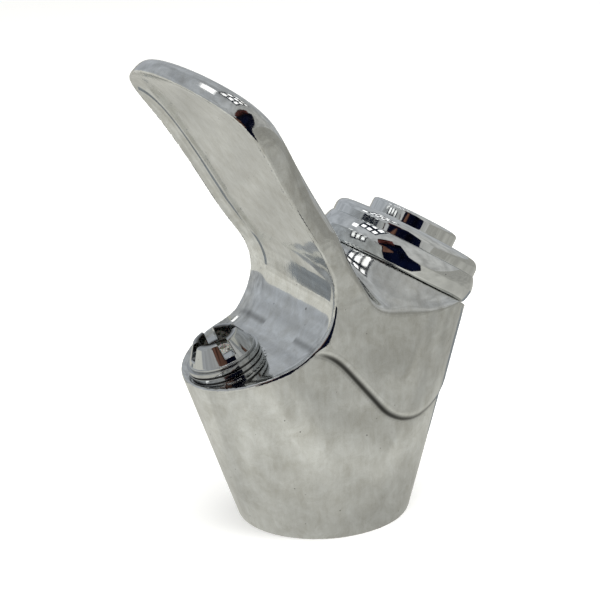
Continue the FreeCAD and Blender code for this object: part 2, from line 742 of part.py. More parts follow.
def nozzle_crown():
    """Crown with a screwed shank, a conical head, a deep bore and four slots."""
    shank = "well_radius - thread_gap"
    body = turned("nozzle_crown", "nozzle", [
        ("jet_radius", "1 - well_depth"), (shank, "1 - well_depth"), (shank, "ring_height"),
        ("crown_flange_radius", "ring_height"), ("crown_flange_radius", CROWN_FOOT),
        ("crown_base_radius", CROWN_FOOT), ("crown_top_radius", CROWN_TOP), ("crown_bore", CROWN_TOP),
        ("crown_bore", f"{CROWN_TOP} - crown_bore_depth"), ("jet_radius", f"{CROWN_TOP} - crown_bore_depth"),
    ])
    sketch = sketch_on(body, "XZ_Plane", "slot_outline")
    sketch.AttachmentOffset = Placement(Vector(), Rotation(Vector(0, 1, 0), 1))
    bind(sketch, "AttachmentOffset.Rotation.Angle", "slot_turn")
    draw_outline(sketch, [
        ("-slot_width / 2", f"{CROWN_TOP} + 1"), ("-slot_width / 2", f"{CROWN_TOP} - slot_depth"),
        ("slot_width / 2", f"{CROWN_TOP} - slot_depth"), ("slot_width / 2", f"{CROWN_TOP} + 1"),
    ])
    slots = body.newObject("PartDesign::Pocket", "slots")
    slots.Profile = sketch
    slots.SideType = "Symmetric"
    bind(slots, "Length", "crown_base_radius * 4")
    spread_round(body, slots, "2", 90)
    return body


def stream_former():
    """Small drilled plug at the foot of the crown bore."""
    foot = f"({CROWN_TOP} - crown_bore_depth)"
    body = plain_rod("stream_former", "nozzle", "crown_bore - thread_gap", foot, f"{foot} + former_thickness")
    drilled(body, "former_drilling", "XY_Plane", "former_hole", "well_depth * 2", "former_circle",
            copies="former_holes")
    return body


def bonnet_gasket():
    return plain_ring("bonnet_gasket", "boss", "spigot_radius + thread_gap", "bead_foot_radius - 0.8", "0",
                      "gasket_thickness")


def bonnet_ring():
    """Retaining ring with a bulging rim, screwed onto the spigot of the casting."""
    bore = "spigot_radius + thread_gap"
    step = "bead_height - cap_spigot_depth"
    return turned("bonnet_ring", "boss", [
        (bore, "gasket_thickness"), ("bead_foot_radius", "gasket_thickness", "bead_height"),
        ("bead_radius", "bead_belly", "bead_height * 0.8"), ("bead_top_radius", "bead_height"),
        ("cap_spigot_radius", "bead_height"), ("cap_spigot_radius", step), (bore, step),
    ])


def bonnet_cap():
    """Cap with a quarter-round edge, which guides the button and keeps it in."""
    guide = "button_radius + running_gap"
    foot = "bead_height - cap_spigot_depth + thread_gap"
    spigot = "cap_spigot_radius - thread_gap"
    return turned("bonnet_cap", "boss", [
        ("mouth_radius", foot), (spigot, foot), (spigot, "bead_height"),
        ("cap_radius", "bead_height", "cap_height * 1.1"), ("cap_land_radius", STACK_TOP), (guide, STACK_TOP),
        (guide, FLANGE_TOP), ("mouth_radius", FLANGE_TOP),
    ])


def push_button():
    """Button with an inner flange that the cap holds back, and a hub for the stem."""
    hub_foot = f"{BUTTON_TOP} - button_hub_depth"
    flange_foot = f"{FLANGE_TOP} - button_flange"
    return turned("push_button", "boss", [
        ("stem_radius + stem_gap", hub_foot), ("button_hub_radius", hub_foot), ("button_hub_radius", ROOF),
        ("button_bore", ROOF), ("button_bore", flange_foot), (BUTTON_FLANGE, flange_foot),
        (BUTTON_FLANGE, FLANGE_TOP), ("button_radius", FLANGE_TOP),
        ("button_radius", f"{BUTTON_TOP} - button_edge", "button_edge"),
        ("button_radius - button_edge", BUTTON_TOP), ("0", BUTTON_TOP), ("0", ROOF),
        ("stem_radius + stem_gap", ROOF),
    ])


def adjusting_screw():
    """Socket screw in the top of the stem: its head meets the button and sets how far the valve opens."""
    neck_level = f"({ROOF} - screw_gap - screw_head)"
    body = turned("adjusting_screw", "boss", [
        ("0", f"{neck_level} - screw_length"), ("screw_radius", f"{neck_level} - screw_length"),
        ("screw_radius", neck_level), ("stem_radius", neck_level), ("stem_radius", f"{ROOF} - screw_gap"),
        ("0", f"{ROOF} - screw_gap"),
    ])
    sketch = sketch_on(body, "XY_Plane", "socket_outline")
    bind(sketch, "AttachmentOffset.Base.z", f"{ROOF} - screw_gap")
    draw_hexagon(sketch, "hex_size")
    socket = body.newObject("PartDesign::Pocket", "socket")
    socket.Profile = sketch
    bind(socket, "Length", "hex_depth")
    return body


def valve_stem():
    """Stem from the hub of the button down to the poppet."""
    top = f"({ROOF} - screw_gap - screw_head - screw_gap)"
    hole_foot = f"({top} - screw_length)"
    return turned("valve_stem", "boss", [
        ("0", f"-{SEAT_FACE} - stem_foot_length"), ("stem_foot_radius", f"-{SEAT_FACE} - stem_foot_length"),
        ("stem_foot_radius", f"-{SEAT_FACE}"), ("stem_radius", f"-{SEAT_FACE}"), ("stem_radius", top),
        ("screw_radius + stem_gap", top), ("screw_radius + stem_gap", hole_foot), ("0", hole_foot),
    ])


def valve_sleeve():
    """Cartridge body: spring cup, gland, outlet room with ports, seat pocket and inlet room."""
    outer = "chamber_radius - sleeve_gap"
    bore = "stem_radius + stem_gap"

    def seal_groove(depth):
        half = "seal_groove_height / 2"
        return [(outer, f"-{depth} - {half}"), ("seal_groove_radius", f"-{depth} - {half}"),
                ("seal_groove_radius", f"-{depth} + {half}"), (outer, f"-{depth} + {half}")]

    outline = [("inlet_room_radius", "-sleeve_length"), (outer, "-sleeve_length")]
    outline += seal_groove("lower_seal_depth")
    outline += [(outer, "-waist_bottom"), ("waist_radius", "-waist_bottom"), ("waist_radius", "-waist_top"),
                (outer, "-waist_top")]
    outline += seal_groove("upper_seal_depth")
    outline += [
        (outer, "-mouth_depth"), ("mouth_radius - thread_gap", "-mouth_depth"),
        ("mouth_radius - thread_gap", CLIP_FOOT), ("sleeve_cup_radius", CLIP_FOOT),
        ("sleeve_cup_radius", "-sleeve_cup_depth"), (bore, "-sleeve_cup_depth"), (bore, "-gland_depth"),
        ("gland_radius", "-gland_depth"), ("gland_radius", "-gland_depth - gland_height"),
        (bore, "-gland_depth - gland_height"), (bore, "-outlet_room_top"),
        ("outlet_room_radius", "-outlet_room_top"), ("outlet_room_radius", f"-{SEAT_FACE}"),
        ("inlet_room_radius", f"-{SEAT_FACE}"),
    ]
    body = turned("valve_sleeve", "boss", outline)
    drilled(body, "ports", "XZ_Plane", "port_radius", "chamber_radius * 3",
            up="-(waist_top + waist_bottom) / 2", copies="2", angle=90)
    return body


def o_ring(label, radius, wire, level):
    body = new_body(label)
    sketch = sketch_on(body, "XZ_Plane", label + "_section")
    draw_circle(sketch, wire, level, radius)
    turn = body.newObject("PartDesign::Revolution", label + "_turn")
    turn.Profile = sketch
    turn.ReferenceAxis = (sketch, ["V_Axis"])
    turn.Angle = 360
    place(body, "boss")
    return body


def retaining_clip():
    """Open snap ring above the flange of the cartridge."""
    outer = "(mouth_radius + clip_bite - thread_gap)"
    body = plain_ring("retaining_clip", "boss", f"{outer} - clip_width", outer, CLIP_FOOT,
                      f"{CLIP_FOOT} + clip_thickness")
    sketch = sketch_on(body, "XY_Plane", "clip_opening_outline")
    half = "clip_opening / 2"
    draw_outline(sketch, [("-" + half, "0"), (half, "0"), (half, "mouth_radius * 2"),
                          ("-" + half, "mouth_radius * 2")])
    opening = body.newObject("PartDesign::Pocket", "clip_open_end")
    opening.Profile = sketch
    opening.SideType = "Symmetric"
    bind(opening, "Length", "mouth_radius")
    return body


def valve_seat():
    return plain_ring("valve_seat", "boss", "seat_hole", "outlet_room_radius", f"-{SEAT_FACE}", "-seat_top")


def poppet_disc():
    return plain_ring("poppet_disc", "boss", "stem_foot_radius + stem_gap", "disc_radius",
                      f"-{SEAT_FACE} - disc_gap - disc_thickness", f"-{SEAT_FACE} - disc_gap")


def poppet_holder():
    """Shallow cup that carries the disc."""
    floor = f"-{SEAT_FACE} - disc_gap - disc_thickness"
    foot = f"{floor} - holder_floor"
    pocket = "disc_radius + stem_gap"
    rim = f"{floor} + disc_thickness - disc_stand"
    return turned("poppet_holder", "boss", [
        ("stem_foot_radius + stem_gap", foot), ("holder_radius", foot), ("holder_radius", rim), (pocket, rim),
        (pocket, floor), ("stem_foot_radius + stem_gap", floor),
    ])


def stem_nut():
    body = new_body("stem_nut")
    sketch = sketch_on(body, "XY_Plane", "nut_outline")
    bind(sketch, "AttachmentOffset.Base.z",
         f"-{SEAT_FACE} - disc_gap - disc_thickness - holder_floor - nut_height")
    draw_hexagon(sketch, "nut_size")
    draw_circle(sketch, "stem_foot_radius + stem_gap")
    pad = body.newObject("PartDesign::Pad", "nut_pad")
    pad.Profile = sketch
    bind(pad, "Length", "nut_height")
    place(body, "boss")
    return body


def spring_washer():
    return plain_ring("spring_washer", "boss", "washer_inner", "washer_outer", "-sleeve_cup_depth", WASHER_TOP)


def biarc(start, heading, end, end_heading):
    """Two arcs that leave one point along its heading and reach another along its own."""
    way = end - start
    both = heading + end_heading
    bend = 2 * (1 - heading.dot(end_heading))
    reach = (math.sqrt(way.dot(both) ** 2 + bend * way.dot(way)) - way.dot(both)) / bend
    first, last = start + heading * reach, end - end_heading * reach
    joint = (first + last) * 0.5
    arcs = []
    for a, corner, b in ((start, first, joint), (joint, last, end)):
        middle = (a + b) * 0.5
        half = math.acos((b - a).Length * 0.5 / (corner - a).Length)
        crown = middle + (corner - middle) * (math.tan(half * 0.5) / math.tan(half))
        arcs.append(Part.Arc(a, crown, b).toShape())
    return arcs


def spring_path():
    """The centre line of the spring in quarter turns, with a closed coil at each end."""
    radius, wire, turns = value("spring_radius"), value("spring_wire"), int(value("spring_turns"))
    foot, top = value(f"{WASHER_TOP} + spring_wire / 2"), value(f"{ROOF} - spring_wire / 2")
    closed = wire * value("spring_closed_pitch")
    pitch = (top - foot - 2 * closed) / (turns - 2)
    rates = [closed] * 4 + [pitch] * 4 * (turns - 2) + [closed] * 4
    levels = [foot]
    for rate in rates:
        levels.append(levels[-1] + rate / 4)
    points, headings = [], []
    for i, level in enumerate(levels):
        angle = math.pi / 2 * i
        slope = (rates[max(i - 1, 0)] + rates[min(i, len(rates) - 1)]) / 2 / (2 * math.pi)
        points.append(Vector(radius * math.cos(angle), radius * math.sin(angle), level))
        headings.append(Vector(-radius * math.sin(angle), radius * math.cos(angle), slope).normalize())
    edges = []
    for i in range(len(points) - 1):
        edges += biarc(points[i], headings[i], points[i + 1], headings[i + 1])
    path = doc.addObject("Part::Feature", "spring_path")
    path.Shape = Part.Wire(edges)
    return path, points[0], headings[0]


def return_spring():
    """Compression spring round the hub of the button, swept along its centre line."""
    path, start, heading = spring_path()
    section = doc.addObject("Part::Circle", "spring_section")
    bind(section, "Radius", "spring_wire / 2")
    section.Placement = Placement(start, Rotation(Vector(0, 0, 1), heading))
    spring = doc.addObject("Part::Sweep", "return_spring")
    spring.Sections = [section]
    spring.Spine = (path, ["Edge%d" % (i + 1) for i in range(len(path.Shape.Edges))])
    spring.Solid = True
    spring.Label = "return_spring"
    place(spring, "boss")
    return spring


def inlet_strainer():
    """Drilled cup in the pocket above the inlet thread."""
    outer = "(screen_pocket_radius - strainer_gap)"
    foot = "(inlet_depth - strainer_height)"
    body = turned("inlet_strainer", "base", [
        (f"{outer} - strainer_thickness", foot), (outer, foot), (outer, "inlet_depth"), ("0", "inlet_depth"),
        ("0", "inlet_depth - strainer_thickness"), (f"{outer} - strainer_thickness",
                                                    "inlet_depth - strainer_thickness"),
    ])
    drilled(body, "strainer_drilling", "XY_Plane", "strainer_hole", "inlet_depth * 3", "strainer_circle",
            copies="strainer_holes")
    return body


def base_gasket():
    return plain_ring("base_gasket", "base", "recess_inner + base_gasket_gap", "recess_outer - base_gasket_gap",
                      "0", "recess_depth")


SUB_PARTS = [
    faucet_body(), nozzle_crown(), nozzle_ring(), bonnet_ring(), bonnet_cap(), push_button(), nozzle_gasket(),
    stream_former(), bonnet_gasket(), valve_sleeve(),
    o_ring("sleeve_seal_upper", "seal_ring_radius", "seal_wire", "-upper_seal_depth"),
    o_ring("sleeve_seal_lower", "seal_ring_radius", "seal_wire", "-lower_seal_depth"),
    retaining_clip(),
    o_ring("gland_seal", "gland_ring_radius", "gland_wire", "-gland_depth - gland_height / 2"),
    valve_seat(), valve_stem(), poppet_disc(), poppet_holder(), stem_nut(), return_spring(), spring_washer(),
    adjusting_screw(), inlet_strainer(), base_gasket(),
]


doc.recompute()
broken = [o.Name for o in doc.Objects if "Invalid" in o.State or "Error" in o.State]
if broken:
    raise RuntimeError("these objects failed: " + ", ".join(broken))
for piece in SUB_PARTS:
    if piece.Shape.isNull() or not piece.Shape.isValid():
        raise RuntimeError("no valid shape: " + piece.Label)

os.makedirs("parts", exist_ok=True)
for piece in SUB_PARTS:
    piece.Shape.exportStep(os.path.join("parts", piece.Label + ".step"))
    print("%-20s %2d solid  %9.1f mm3" % (piece.Label, len(piece.Shape.Solids), piece.Shape.Volume))
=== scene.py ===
import json

import bpy
import numpy as np
from bpy.props import FloatProperty, FloatVectorProperty, PointerProperty
from mathutils import Matrix, Vector


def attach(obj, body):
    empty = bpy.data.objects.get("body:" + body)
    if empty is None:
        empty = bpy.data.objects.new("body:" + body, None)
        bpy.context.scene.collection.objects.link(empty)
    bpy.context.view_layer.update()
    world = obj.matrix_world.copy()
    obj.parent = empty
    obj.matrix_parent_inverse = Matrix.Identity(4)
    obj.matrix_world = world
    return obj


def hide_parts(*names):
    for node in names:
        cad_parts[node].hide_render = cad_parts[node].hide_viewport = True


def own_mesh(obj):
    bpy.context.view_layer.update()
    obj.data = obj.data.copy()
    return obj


bl_info = {
    "name": "Water Cooler Drinking Head",
    "version": (1, 0, 0),
    "blender": (4, 5, 0),
    "location": "3D View > Sidebar > Drinking Head",
    "description": "Chrome-plated push-button drinking head, dressed around its solid model",
    "category": "Add Mesh",
}

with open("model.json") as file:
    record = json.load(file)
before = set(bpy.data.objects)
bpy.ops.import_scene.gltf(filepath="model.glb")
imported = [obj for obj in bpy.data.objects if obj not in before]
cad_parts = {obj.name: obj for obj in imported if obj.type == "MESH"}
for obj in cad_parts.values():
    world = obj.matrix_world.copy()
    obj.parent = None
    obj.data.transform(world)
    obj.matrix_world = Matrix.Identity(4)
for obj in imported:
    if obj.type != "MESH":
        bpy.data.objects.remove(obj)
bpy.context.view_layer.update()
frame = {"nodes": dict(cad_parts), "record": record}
MM = 0.001
PER_MM = 1000.0
TINY = 1e-9
ON_AXIS = 1e-6
DEEP_INSIDE = -99.0
# Name of the point attribute that holds painted shade for the chrome
PAINTED_SHADE = "painted_shade"
PANEL_TAB = "Drinking Head"


def linear(hex_colour):
    """Turns an sRGB hex value into the linear colour that a shader takes."""
    values = [int(hex_colour[i:i + 2], 16) / 255.0 for i in (1, 3, 5)]
    return tuple(v / 12.92 if v <= 0.04045 else ((v + 0.055) / 1.055) ** 2.4 for v in values) + (1.0,)


def colour_setting(name, description, hex_colour):
    """A colour that a user may change, shown as a swatch."""
    return FloatVectorProperty(name=name, description=description, subtype="COLOR", size=4, min=0.0,
                               max=1.0, default=linear(hex_colour))


def length_setting(name, description, millimetres):
    """A length that a user may change, kept in metres."""
    return FloatProperty(name=name, description=description, default=millimetres * MM, min=0.0001,
                         subtype="DISTANCE", unit="LENGTH")


def angle_setting(name, description, degrees):
    """An angle that a user may change."""
    return FloatProperty(name=name, description=description, default=np.radians(degrees), subtype="ANGLE",
                         unit="ROTATION")


def add_node(tree, kind, settings=None, **links):
    """Adds a shader node, sets its properties and sockets, and links each named input to the socket given
    for it, or to the first socket of the node given."""
    node = tree.nodes.new("ShaderNode" + kind)
    for name, value in (settings or {}).items():
        if isinstance(name, int) or name in node.inputs:
            node.inputs[name].default_value = value
        else:
            setattr(node, name, value)
    for name, source in links.items():
        key = int(name[1:]) if name[0] == "_" else name.replace("_", " ")
        socket = source.outputs[0] if isinstance(source, bpy.types.Node) else source
        tree.links.new(socket, node.inputs[key])
    return node


def empty_tree(owner):
    """Clears an owner's node tree and returns it."""
    owner.use_nodes = True
    owner.node_tree.nodes.clear()
    return owner.node_tree


def mesh_object(name, points, faces, normals=None):
    """A smooth-shaded object from arrays in millimetres, with its own normals where they are given."""
    mesh = bpy.data.meshes.new(name)
    faces = np.asarray(faces, np.int32)
    sides = faces.shape[1]
    mesh.vertices.add(len(points))
    mesh.vertices.foreach_set("co", (np.asarray(points) * MM).astype(np.float32).ravel())
    mesh.loops.add(faces.size)
    mesh.loops.foreach_set("vertex_index", faces.ravel())
    mesh.polygons.add(len(faces))
    mesh.polygons.foreach_set("loop_start", np.arange(0, faces.size, sides, dtype=np.int32))
    mesh.polygons.foreach_set("use_smooth", np.ones(len(faces), bool))
    mesh.update(calc_edges=True)
    mesh.validate()
    if normals is not None:
        mesh.normals_split_custom_set_from_vertices(np.asarray(normals, np.float32).tolist())
    thing = bpy.data.objects.new(name, mesh)
    bpy.context.scene.collection.objects.link(thing)
    return thing


def hand_over(thing, body, material, node):
    """Gives a piece its finish and its body, and puts it in the place of a solid."""
    thing.data.materials.clear()
    thing.data.materials.append(material)
    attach(thing, body)
    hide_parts(node)


def mark_painted_shade(thing, values):
    """Stores painted shade at each point, such as how deep it lies in a crease, for the chrome to darken
    there.
    """
    layer = thing.data.attributes.new(PAINTED_SHADE, "FLOAT", "POINT")
    layer.data.foreach_set("value", np.asarray(values, np.float32))


def tilted_frame(across_y, level, tilt):
    """Place of a turned part: origin in the symmetry plane, axis leaning towards +Y by tilt degrees."""
    return Matrix.Translation((0.0, across_y, level)) @ Matrix.Rotation(-np.radians(tilt), 4, "X")


# Main places of the object in its symmetry plane, as (y, z) in millimetres
PLATFORM_TILT = 20.0
TILT_SIN, TILT_COS = np.sin(np.radians(PLATFORM_TILT)), np.cos(np.radians(PLATFORM_TILT))
DOWN_SHELF, INTO_SHELF = np.array([-TILT_COS, -TILT_SIN]), np.array([TILT_SIN, -TILT_COS])
SCOOP_CENTRE = np.array([-20.9, 58.2])
SCOOP_RADIUS = 14.5
SHELF = SCOOP_CENTRE + SCOOP_RADIUS * INTO_SHELF
NOZZLE_DISTANCE, SEAT_DROP = 8.5, 1.8
NOZZLE = SHELF + NOZZLE_DISTANCE * DOWN_SHELF + SEAT_DROP * INTO_SHELF
BOSS = np.array([20.6, 56.8])
BOSS_TILT = 32.5
BOSS_UP = np.array([np.sin(np.radians(BOSS_TILT)), np.cos(np.radians(BOSS_TILT))])
BOSS_FRAME = tilted_frame(*BOSS, BOSS_TILT)
NOZZLE_FRAME = tilted_frame(*NOZZLE, -PLATFORM_TILT)


def in_frame(place, points, turn_only=False):
    """Points or directions of a tilted part, in the row frame."""
    rows = np.array(place)
    moved = np.asarray(points) @ rows[:3, :3].T
    return moved if turn_only else moved + rows[:3, 3]


def soft_max(a, b, width):
    """The larger of two distances, rounded over about width where they meet."""
    overlap = np.maximum(width - np.abs(a - b), 0.0) / width
    return np.maximum(a, b) + overlap ** 3 * (width / 6.0)


def soft_min(a, b, width):
    """The smaller of two distances, filleted over about width where they meet."""
    return -soft_max(-a, -b, width)


def ramp(value, start, length):
    """Smooth step from 0 at the start to 1 a length further on."""
    t = np.clip((value - start) / length, 0.0, 1.0)
    return t * t * (3.0 - 2.0 * t)


def unit(vectors):
    """Rows of vectors, scaled to length one."""
    return vectors / np.maximum(np.linalg.norm(vectors, axis=1, keepdims=True), TINY)


def rod(radius, foot, top, across, height):
    """Distance to an upright rod, from the distance across to its axis and the height along it."""
    return np.maximum(across - radius, np.maximum(foot - height, height - top))


def project(origin, way, y, z):
    """Run from an origin along a way, both in the symmetry plane."""
    return (y - origin[0]) * way[0] + (z - origin[1]) * way[1]


def around(centre, y, z):
    """Angle round a centre in the symmetry plane, and the reach from it."""
    return np.arctan2(z - centre[1], y - centre[0]), np.hypot(y - centre[0], z - centre[1])


def along_axis(frame_origin, tilt, x, y, z):
    """Distance from, and height along, an axis in the symmetry plane that leans towards +Y."""
    lean_sin, lean_cos = np.sin(np.radians(tilt)), np.cos(np.radians(tilt))
    dy, dz = y - frame_origin[0], z - frame_origin[1]
    return np.hypot(x, dy * lean_cos - dz * lean_sin), dy * lean_sin + dz * lean_cos


class Casting:
    """The cast head as one signed distance: flare, platform, scoop, guard, skirt, collar and bores."""

    GUARD_STRAIGHT, GUARD_LENGTH, GUARD_FOOT_RUN = 30.0, 53.0, -9.0
    PLATFORM_TOP = 75.0
    # Below this run the rim follows the flare more and more, and no longer the skirt
    RIM_CHANGE, RIM_CHANGE_RUN = -12.0, 13.0
    # Level distance to a leaning wall times this is the distance square to it
    LEANING = 0.97
    RIM_ROUND, GUARD_BACK_ROUND, SEAT_ROUND = 1.2, 2.8, 0.4
    HEM_ROUND, HEM_GAP, STEP_ROUND, STEP_FILLET = 3.0, 3.0, 1.0, 0.8
    FOOT_ROUND, BORE_ROUND = 0.6, 0.3
    SEAT_FRONT = 14.0
    # Bores and the spigot: radius, foot and top along their own axes
    INLET, SCREEN_POCKET = (7.4, -2.0, 11.0), (6.6, 10.0, 15.0)
    RISING_PASSAGE, RISING_PLACE = (3.0, 14.0, 27.0), 3.0
    CHAMBER, CHAMBER_MOUTH = (10.9, -36.5, 2.0), (12.6, -1.0, 7.0)
    SPIGOT = (15.0, -4.8, 5.0)
    NOZZLE_WELL, RING_POCKET = (5.55, -10.0, 1.0), (9.3, 0.0, 3.6)
    FOOT_RECESS, RECESS_CORE = (18.0, -2.0, 1.5), 13.0
    PASSAGE_RADIUS, NOZZLE_PASSAGE_DEPTH, VALVE_PASSAGE_DEPTH = 2.2, 7.8, 19.0

    def __init__(self, sizes):
        lean = sizes.guard_lean
        self.lean = lean
        self.forward = np.array([np.cos(lean), np.sin(lean)])
        self.upward = np.array([-np.sin(lean), np.cos(lean)])
        self.tip_radius = sizes.tip_radius / MM
        self.root = SCOOP_CENTRE + SCOOP_RADIUS * self.forward
        self.tip_centre = self.root + self.GUARD_STRAIGHT * self.upward - self.tip_radius * self.forward
        self.scoop_run = SCOOP_RADIUS * (np.radians(90.0 - PLATFORM_TILT) + lean)
        self.guard_thickness = sizes.guard_thickness / MM
        self.tip_thickness = sizes.tip_thickness / MM
        self.dish = sizes.dish_depth / MM
        self.base_radius = sizes.base_radius / MM

    def front(self, y, z):
        """Front profile in the symmetry plane: the distance before it and the run along it from the guard's
        root, then the distance before the guard alone and the height along the guard."""
        run_down = project(SHELF, DOWN_SHELF, y, z)
        along = project(self.root, self.upward, y, z)
        scoop_angle, scoop_reach = around(SCOOP_CENTRE, y, z)
        tip_angle, tip_reach = around(self.tip_centre, y, z)
        on_shelf = (run_down > 0) & (z < self.PLATFORM_TOP)
        on_tip, below_guard = along > self.GUARD_STRAIGHT, along < 0
        ahead = -project(self.root, self.forward, y, z)
        before_guard = np.where(on_tip, self.tip_radius - tip_reach, ahead)
        before = np.where(below_guard, SCOOP_RADIUS - scoop_reach, before_guard)
        before = np.where(on_shelf, -project(SHELF, INTO_SHELF, y, z), before)
        run = np.where(on_tip, self.GUARD_STRAIGHT + self.tip_radius * (tip_angle - self.lean), along)
        run = np.where(below_guard, SCOOP_RADIUS * (scoop_angle - self.lean), run)
        run = np.where(on_shelf, -self.scoop_run - run_down, run)
        return before, run, before_guard, along

    def guard_side(self, x, run):
        """Outline of the guard, seen square on: straight neck, shoulders and the arch at the top."""
        neck, shoulder, shoulder_run = 22.5, 5.3, 19.0
        swell, swell_start, swell_run, splay = 0.009, 17.0, 15.0, 0.27
        arch_centre, arch_radius, arch_round = -8.7, 62.0, 12.0
        far = np.clip(run - swell_start, 0.0, swell_run)
        width = (neck + shoulder * ramp(run, self.GUARD_FOOT_RUN, shoulder_run) + swell * far ** 2
                 + splay * np.maximum(run - swell_start - swell_run, 0.0))
        arch = np.hypot(x, run - arch_centre) - arch_radius
        return soft_max((x - width) * self.LEANING, arch, arch_round), width

    def flare(self, x, y, z):
        """Lower body: a round foot whose front and back lean out as it rises."""
        back_slope, front_slope, play = 0.337, 0.325, 0.3
        growth, growth_height = 0.3, 60.0
        outside = np.maximum(np.maximum(y - back_slope * z, -front_slope * z - y) - play, 0.0)
        return (np.hypot(x, outside) - self.base_radius - growth * z / growth_height) * self.LEANING

    def skirt_edge(self, y, z):
        """Lower edge of the skirt: crest under the platform, long slope, turn, and a short rise behind."""
        slope, rise = np.array([0.783, 0.622]), np.array([-0.242, 0.970])
        slope_at, rise_at, bend = np.array([-1.9, 39.3]), np.array([15.0, 25.9]), 12.0
        crest, crest_round = 46.6, 7.0
        corner = np.linalg.solve(np.array([slope, rise]), [slope @ slope_at + bend, rise @ rise_at + bend])
        straight = np.maximum(-project(slope_at, slope, y, z), -project(rise_at, rise, y, z))
        down_slope, up_rise = (slope[1], -slope[0]), (-rise[1], rise[0])
        in_bend = (project(corner, down_slope, y, z) > 0) & (project(corner, up_rise, y, z) > 0)
        edge = np.where(in_bend, around(corner, y, z)[1] - bend, straight)
        return soft_min(edge, crest - z, crest_round)

    def sides(self, x, y, z, run, guard):
        """Sides of the upper body: the skirt, round behind, and above it the guard's outline."""
        neck, neck_growth, back_slope, back_shift, way_clear = 20.8, 1.6, 0.334, 1.0, 40.0
        half = neck + neck_growth * ramp(y, -14.3, 8.5)
        skirt = (np.hypot(x, np.maximum(y - back_slope * z + back_shift, 0.0)) - half) * self.LEANING
        over_skirt = np.maximum(guard, skirt - way_clear * ramp(z, 49.0, 8.0))
        return np.where(run > self.GUARD_FOOT_RUN, over_skirt, skirt)

    def thickness(self, x, width, along):
        """Thickness of the guard: its back is crowned from side to side, and the tip is thinner."""
        crown, crown_loss, thin_start, thin_run = 1.9, 0.4, 38.0, 15.0
        up = np.clip(along, 0.0, self.GUARD_LENGTH)
        middle = 1.0 - np.clip(x / np.maximum(width, 1.0), 0.0, 1.2) ** 2
        thick = self.guard_thickness + (crown - crown_loss * up / self.GUARD_LENGTH) * middle
        thinner = np.clip((up - thin_start) / thin_run, 0.0, 1.0) ** 1.5
        return thick - (self.guard_thickness - self.tip_thickness) * thinner

    def rear(self, guard_back, z, across, height):
        """The guard's back, the level shoulder and the collar under the push button, filleted together."""
        collar_radius, cone_slope, cone_square, shoulder = 18.8, 0.5, 0.894, 51.8
        shoulder_fillet, collar_fillet = 9.0, 6.0
        cone = (across - collar_radius + cone_slope * height) * cone_square
        collar = soft_max(cone, height, self.SEAT_ROUND)
        return soft_min(soft_min(guard_back, z - shoulder, shoulder_fillet), collar, collar_fillet)

    def hollow(self, run, inward):
        """Depth of the dish: deeper up the scoop, shallower towards the tip, and nothing at the rim."""
        deeper, shallower, rim_width, rim_run = 0.22, 0.35, 0.6, 6.5
        depth = self.dish * (1.0 + deeper * ramp(run, -20.0, 20.0))
        depth = depth * (1.0 - shallower * ramp(run, 35.0, 15.0))
        slope = 1.0 - np.clip((inward - rim_width) / rim_run, 0.0, 1.0)
        return depth * (1.0 - slope ** 3)

    def outside(self, x, y, z):
        """Outer form, without bores."""
        x = np.abs(x)
        before, run, before_guard, along = self.front(y, z)
        guard, width = self.guard_side(x, run)
        side = self.sides(x, y, z, run, guard)
        across, height = along_axis(BOSS, BOSS_TILT, x, y, z)
        rear = self.rear(-before_guard - self.thickness(x, width, along), z, across, height)
        form = soft_max(side, rear, self.RIM_ROUND + self.GUARD_BACK_ROUND * ramp(z, 58.0, 12.0))
        form = soft_max(form, np.where(y > self.SEAT_FRONT, height, DEEP_INSIDE), self.SEAT_ROUND)
        edge, foot = self.skirt_edge(y, z), self.flare(x, y, z)
        foot_top = soft_max(foot, -edge - self.HEM_GAP, self.STEP_ROUND)
        form = soft_min(soft_max(form, edge, self.HEM_ROUND), foot_top, self.STEP_FILLET)
        fade = np.clip((self.RIM_CHANGE - run) / self.RIM_CHANGE_RUN, 0.0, 1.0)
        inward = -np.where(run > self.RIM_CHANGE, side, side + (foot - side) * fade)
        form = soft_max(form, before + self.hollow(run, inward), self.RIM_ROUND)
        return soft_max(form, -z, self.FOOT_ROUND)

    def painted_shade(self, x, y, z):
        """How close a point is to the crease under the skirt's edge, used as painted shade: 1 in it, 0 away
        from it.
        """
        line, reach, bare_front, top = -0.25, 1.2, 8.0, 50.0
        near = 1.0 - ramp(np.abs(self.skirt_edge(y, z) - line), 0.0, reach)
        return near * ramp(y, -14.0, 8.0) * ((np.abs(x) > bare_front) | (y > self.SEAT_FRONT)) * (z < top)

    def bores(self, x, y, z):
        """Inlet, passages, valve chamber, nozzle well and the recess in the foot."""
        middle = np.hypot(x, y)
        valve, depth = along_axis(BOSS, BOSS_TILT, x, y, z)
        nozzle, level = along_axis(NOZZLE, -PLATFORM_TILT, x, y, z)
        start = NOZZLE + self.NOZZLE_PASSAGE_DEPTH * INTO_SHELF
        end = BOSS - self.VALVE_PASSAGE_DEPTH * BOSS_UP
        span = end - start
        share = np.clip(project(start, span, y, z) / (span @ span), 0.0, 1.0)
        off = np.hypot(y - start[0] - share * span[0], z - start[1] - share * span[1])
        holes = [
            rod(*self.INLET, middle, z), rod(*self.SCREEN_POCKET, middle, z),
            rod(*self.RISING_PASSAGE, np.hypot(x, y - self.RISING_PLACE), z),
            rod(*self.CHAMBER, valve, depth), rod(*self.CHAMBER_MOUTH, valve, depth),
            rod(*self.NOZZLE_WELL, nozzle, level), rod(*self.RING_POCKET, nozzle, level),
            np.maximum(rod(*self.FOOT_RECESS, middle, z), self.RECESS_CORE - middle),
            np.hypot(x, off) - self.PASSAGE_RADIUS,
        ]
        return np.minimum.reduce([np.broadcast_to(hole, np.broadcast(x, y, z).shape) for hole in holes])

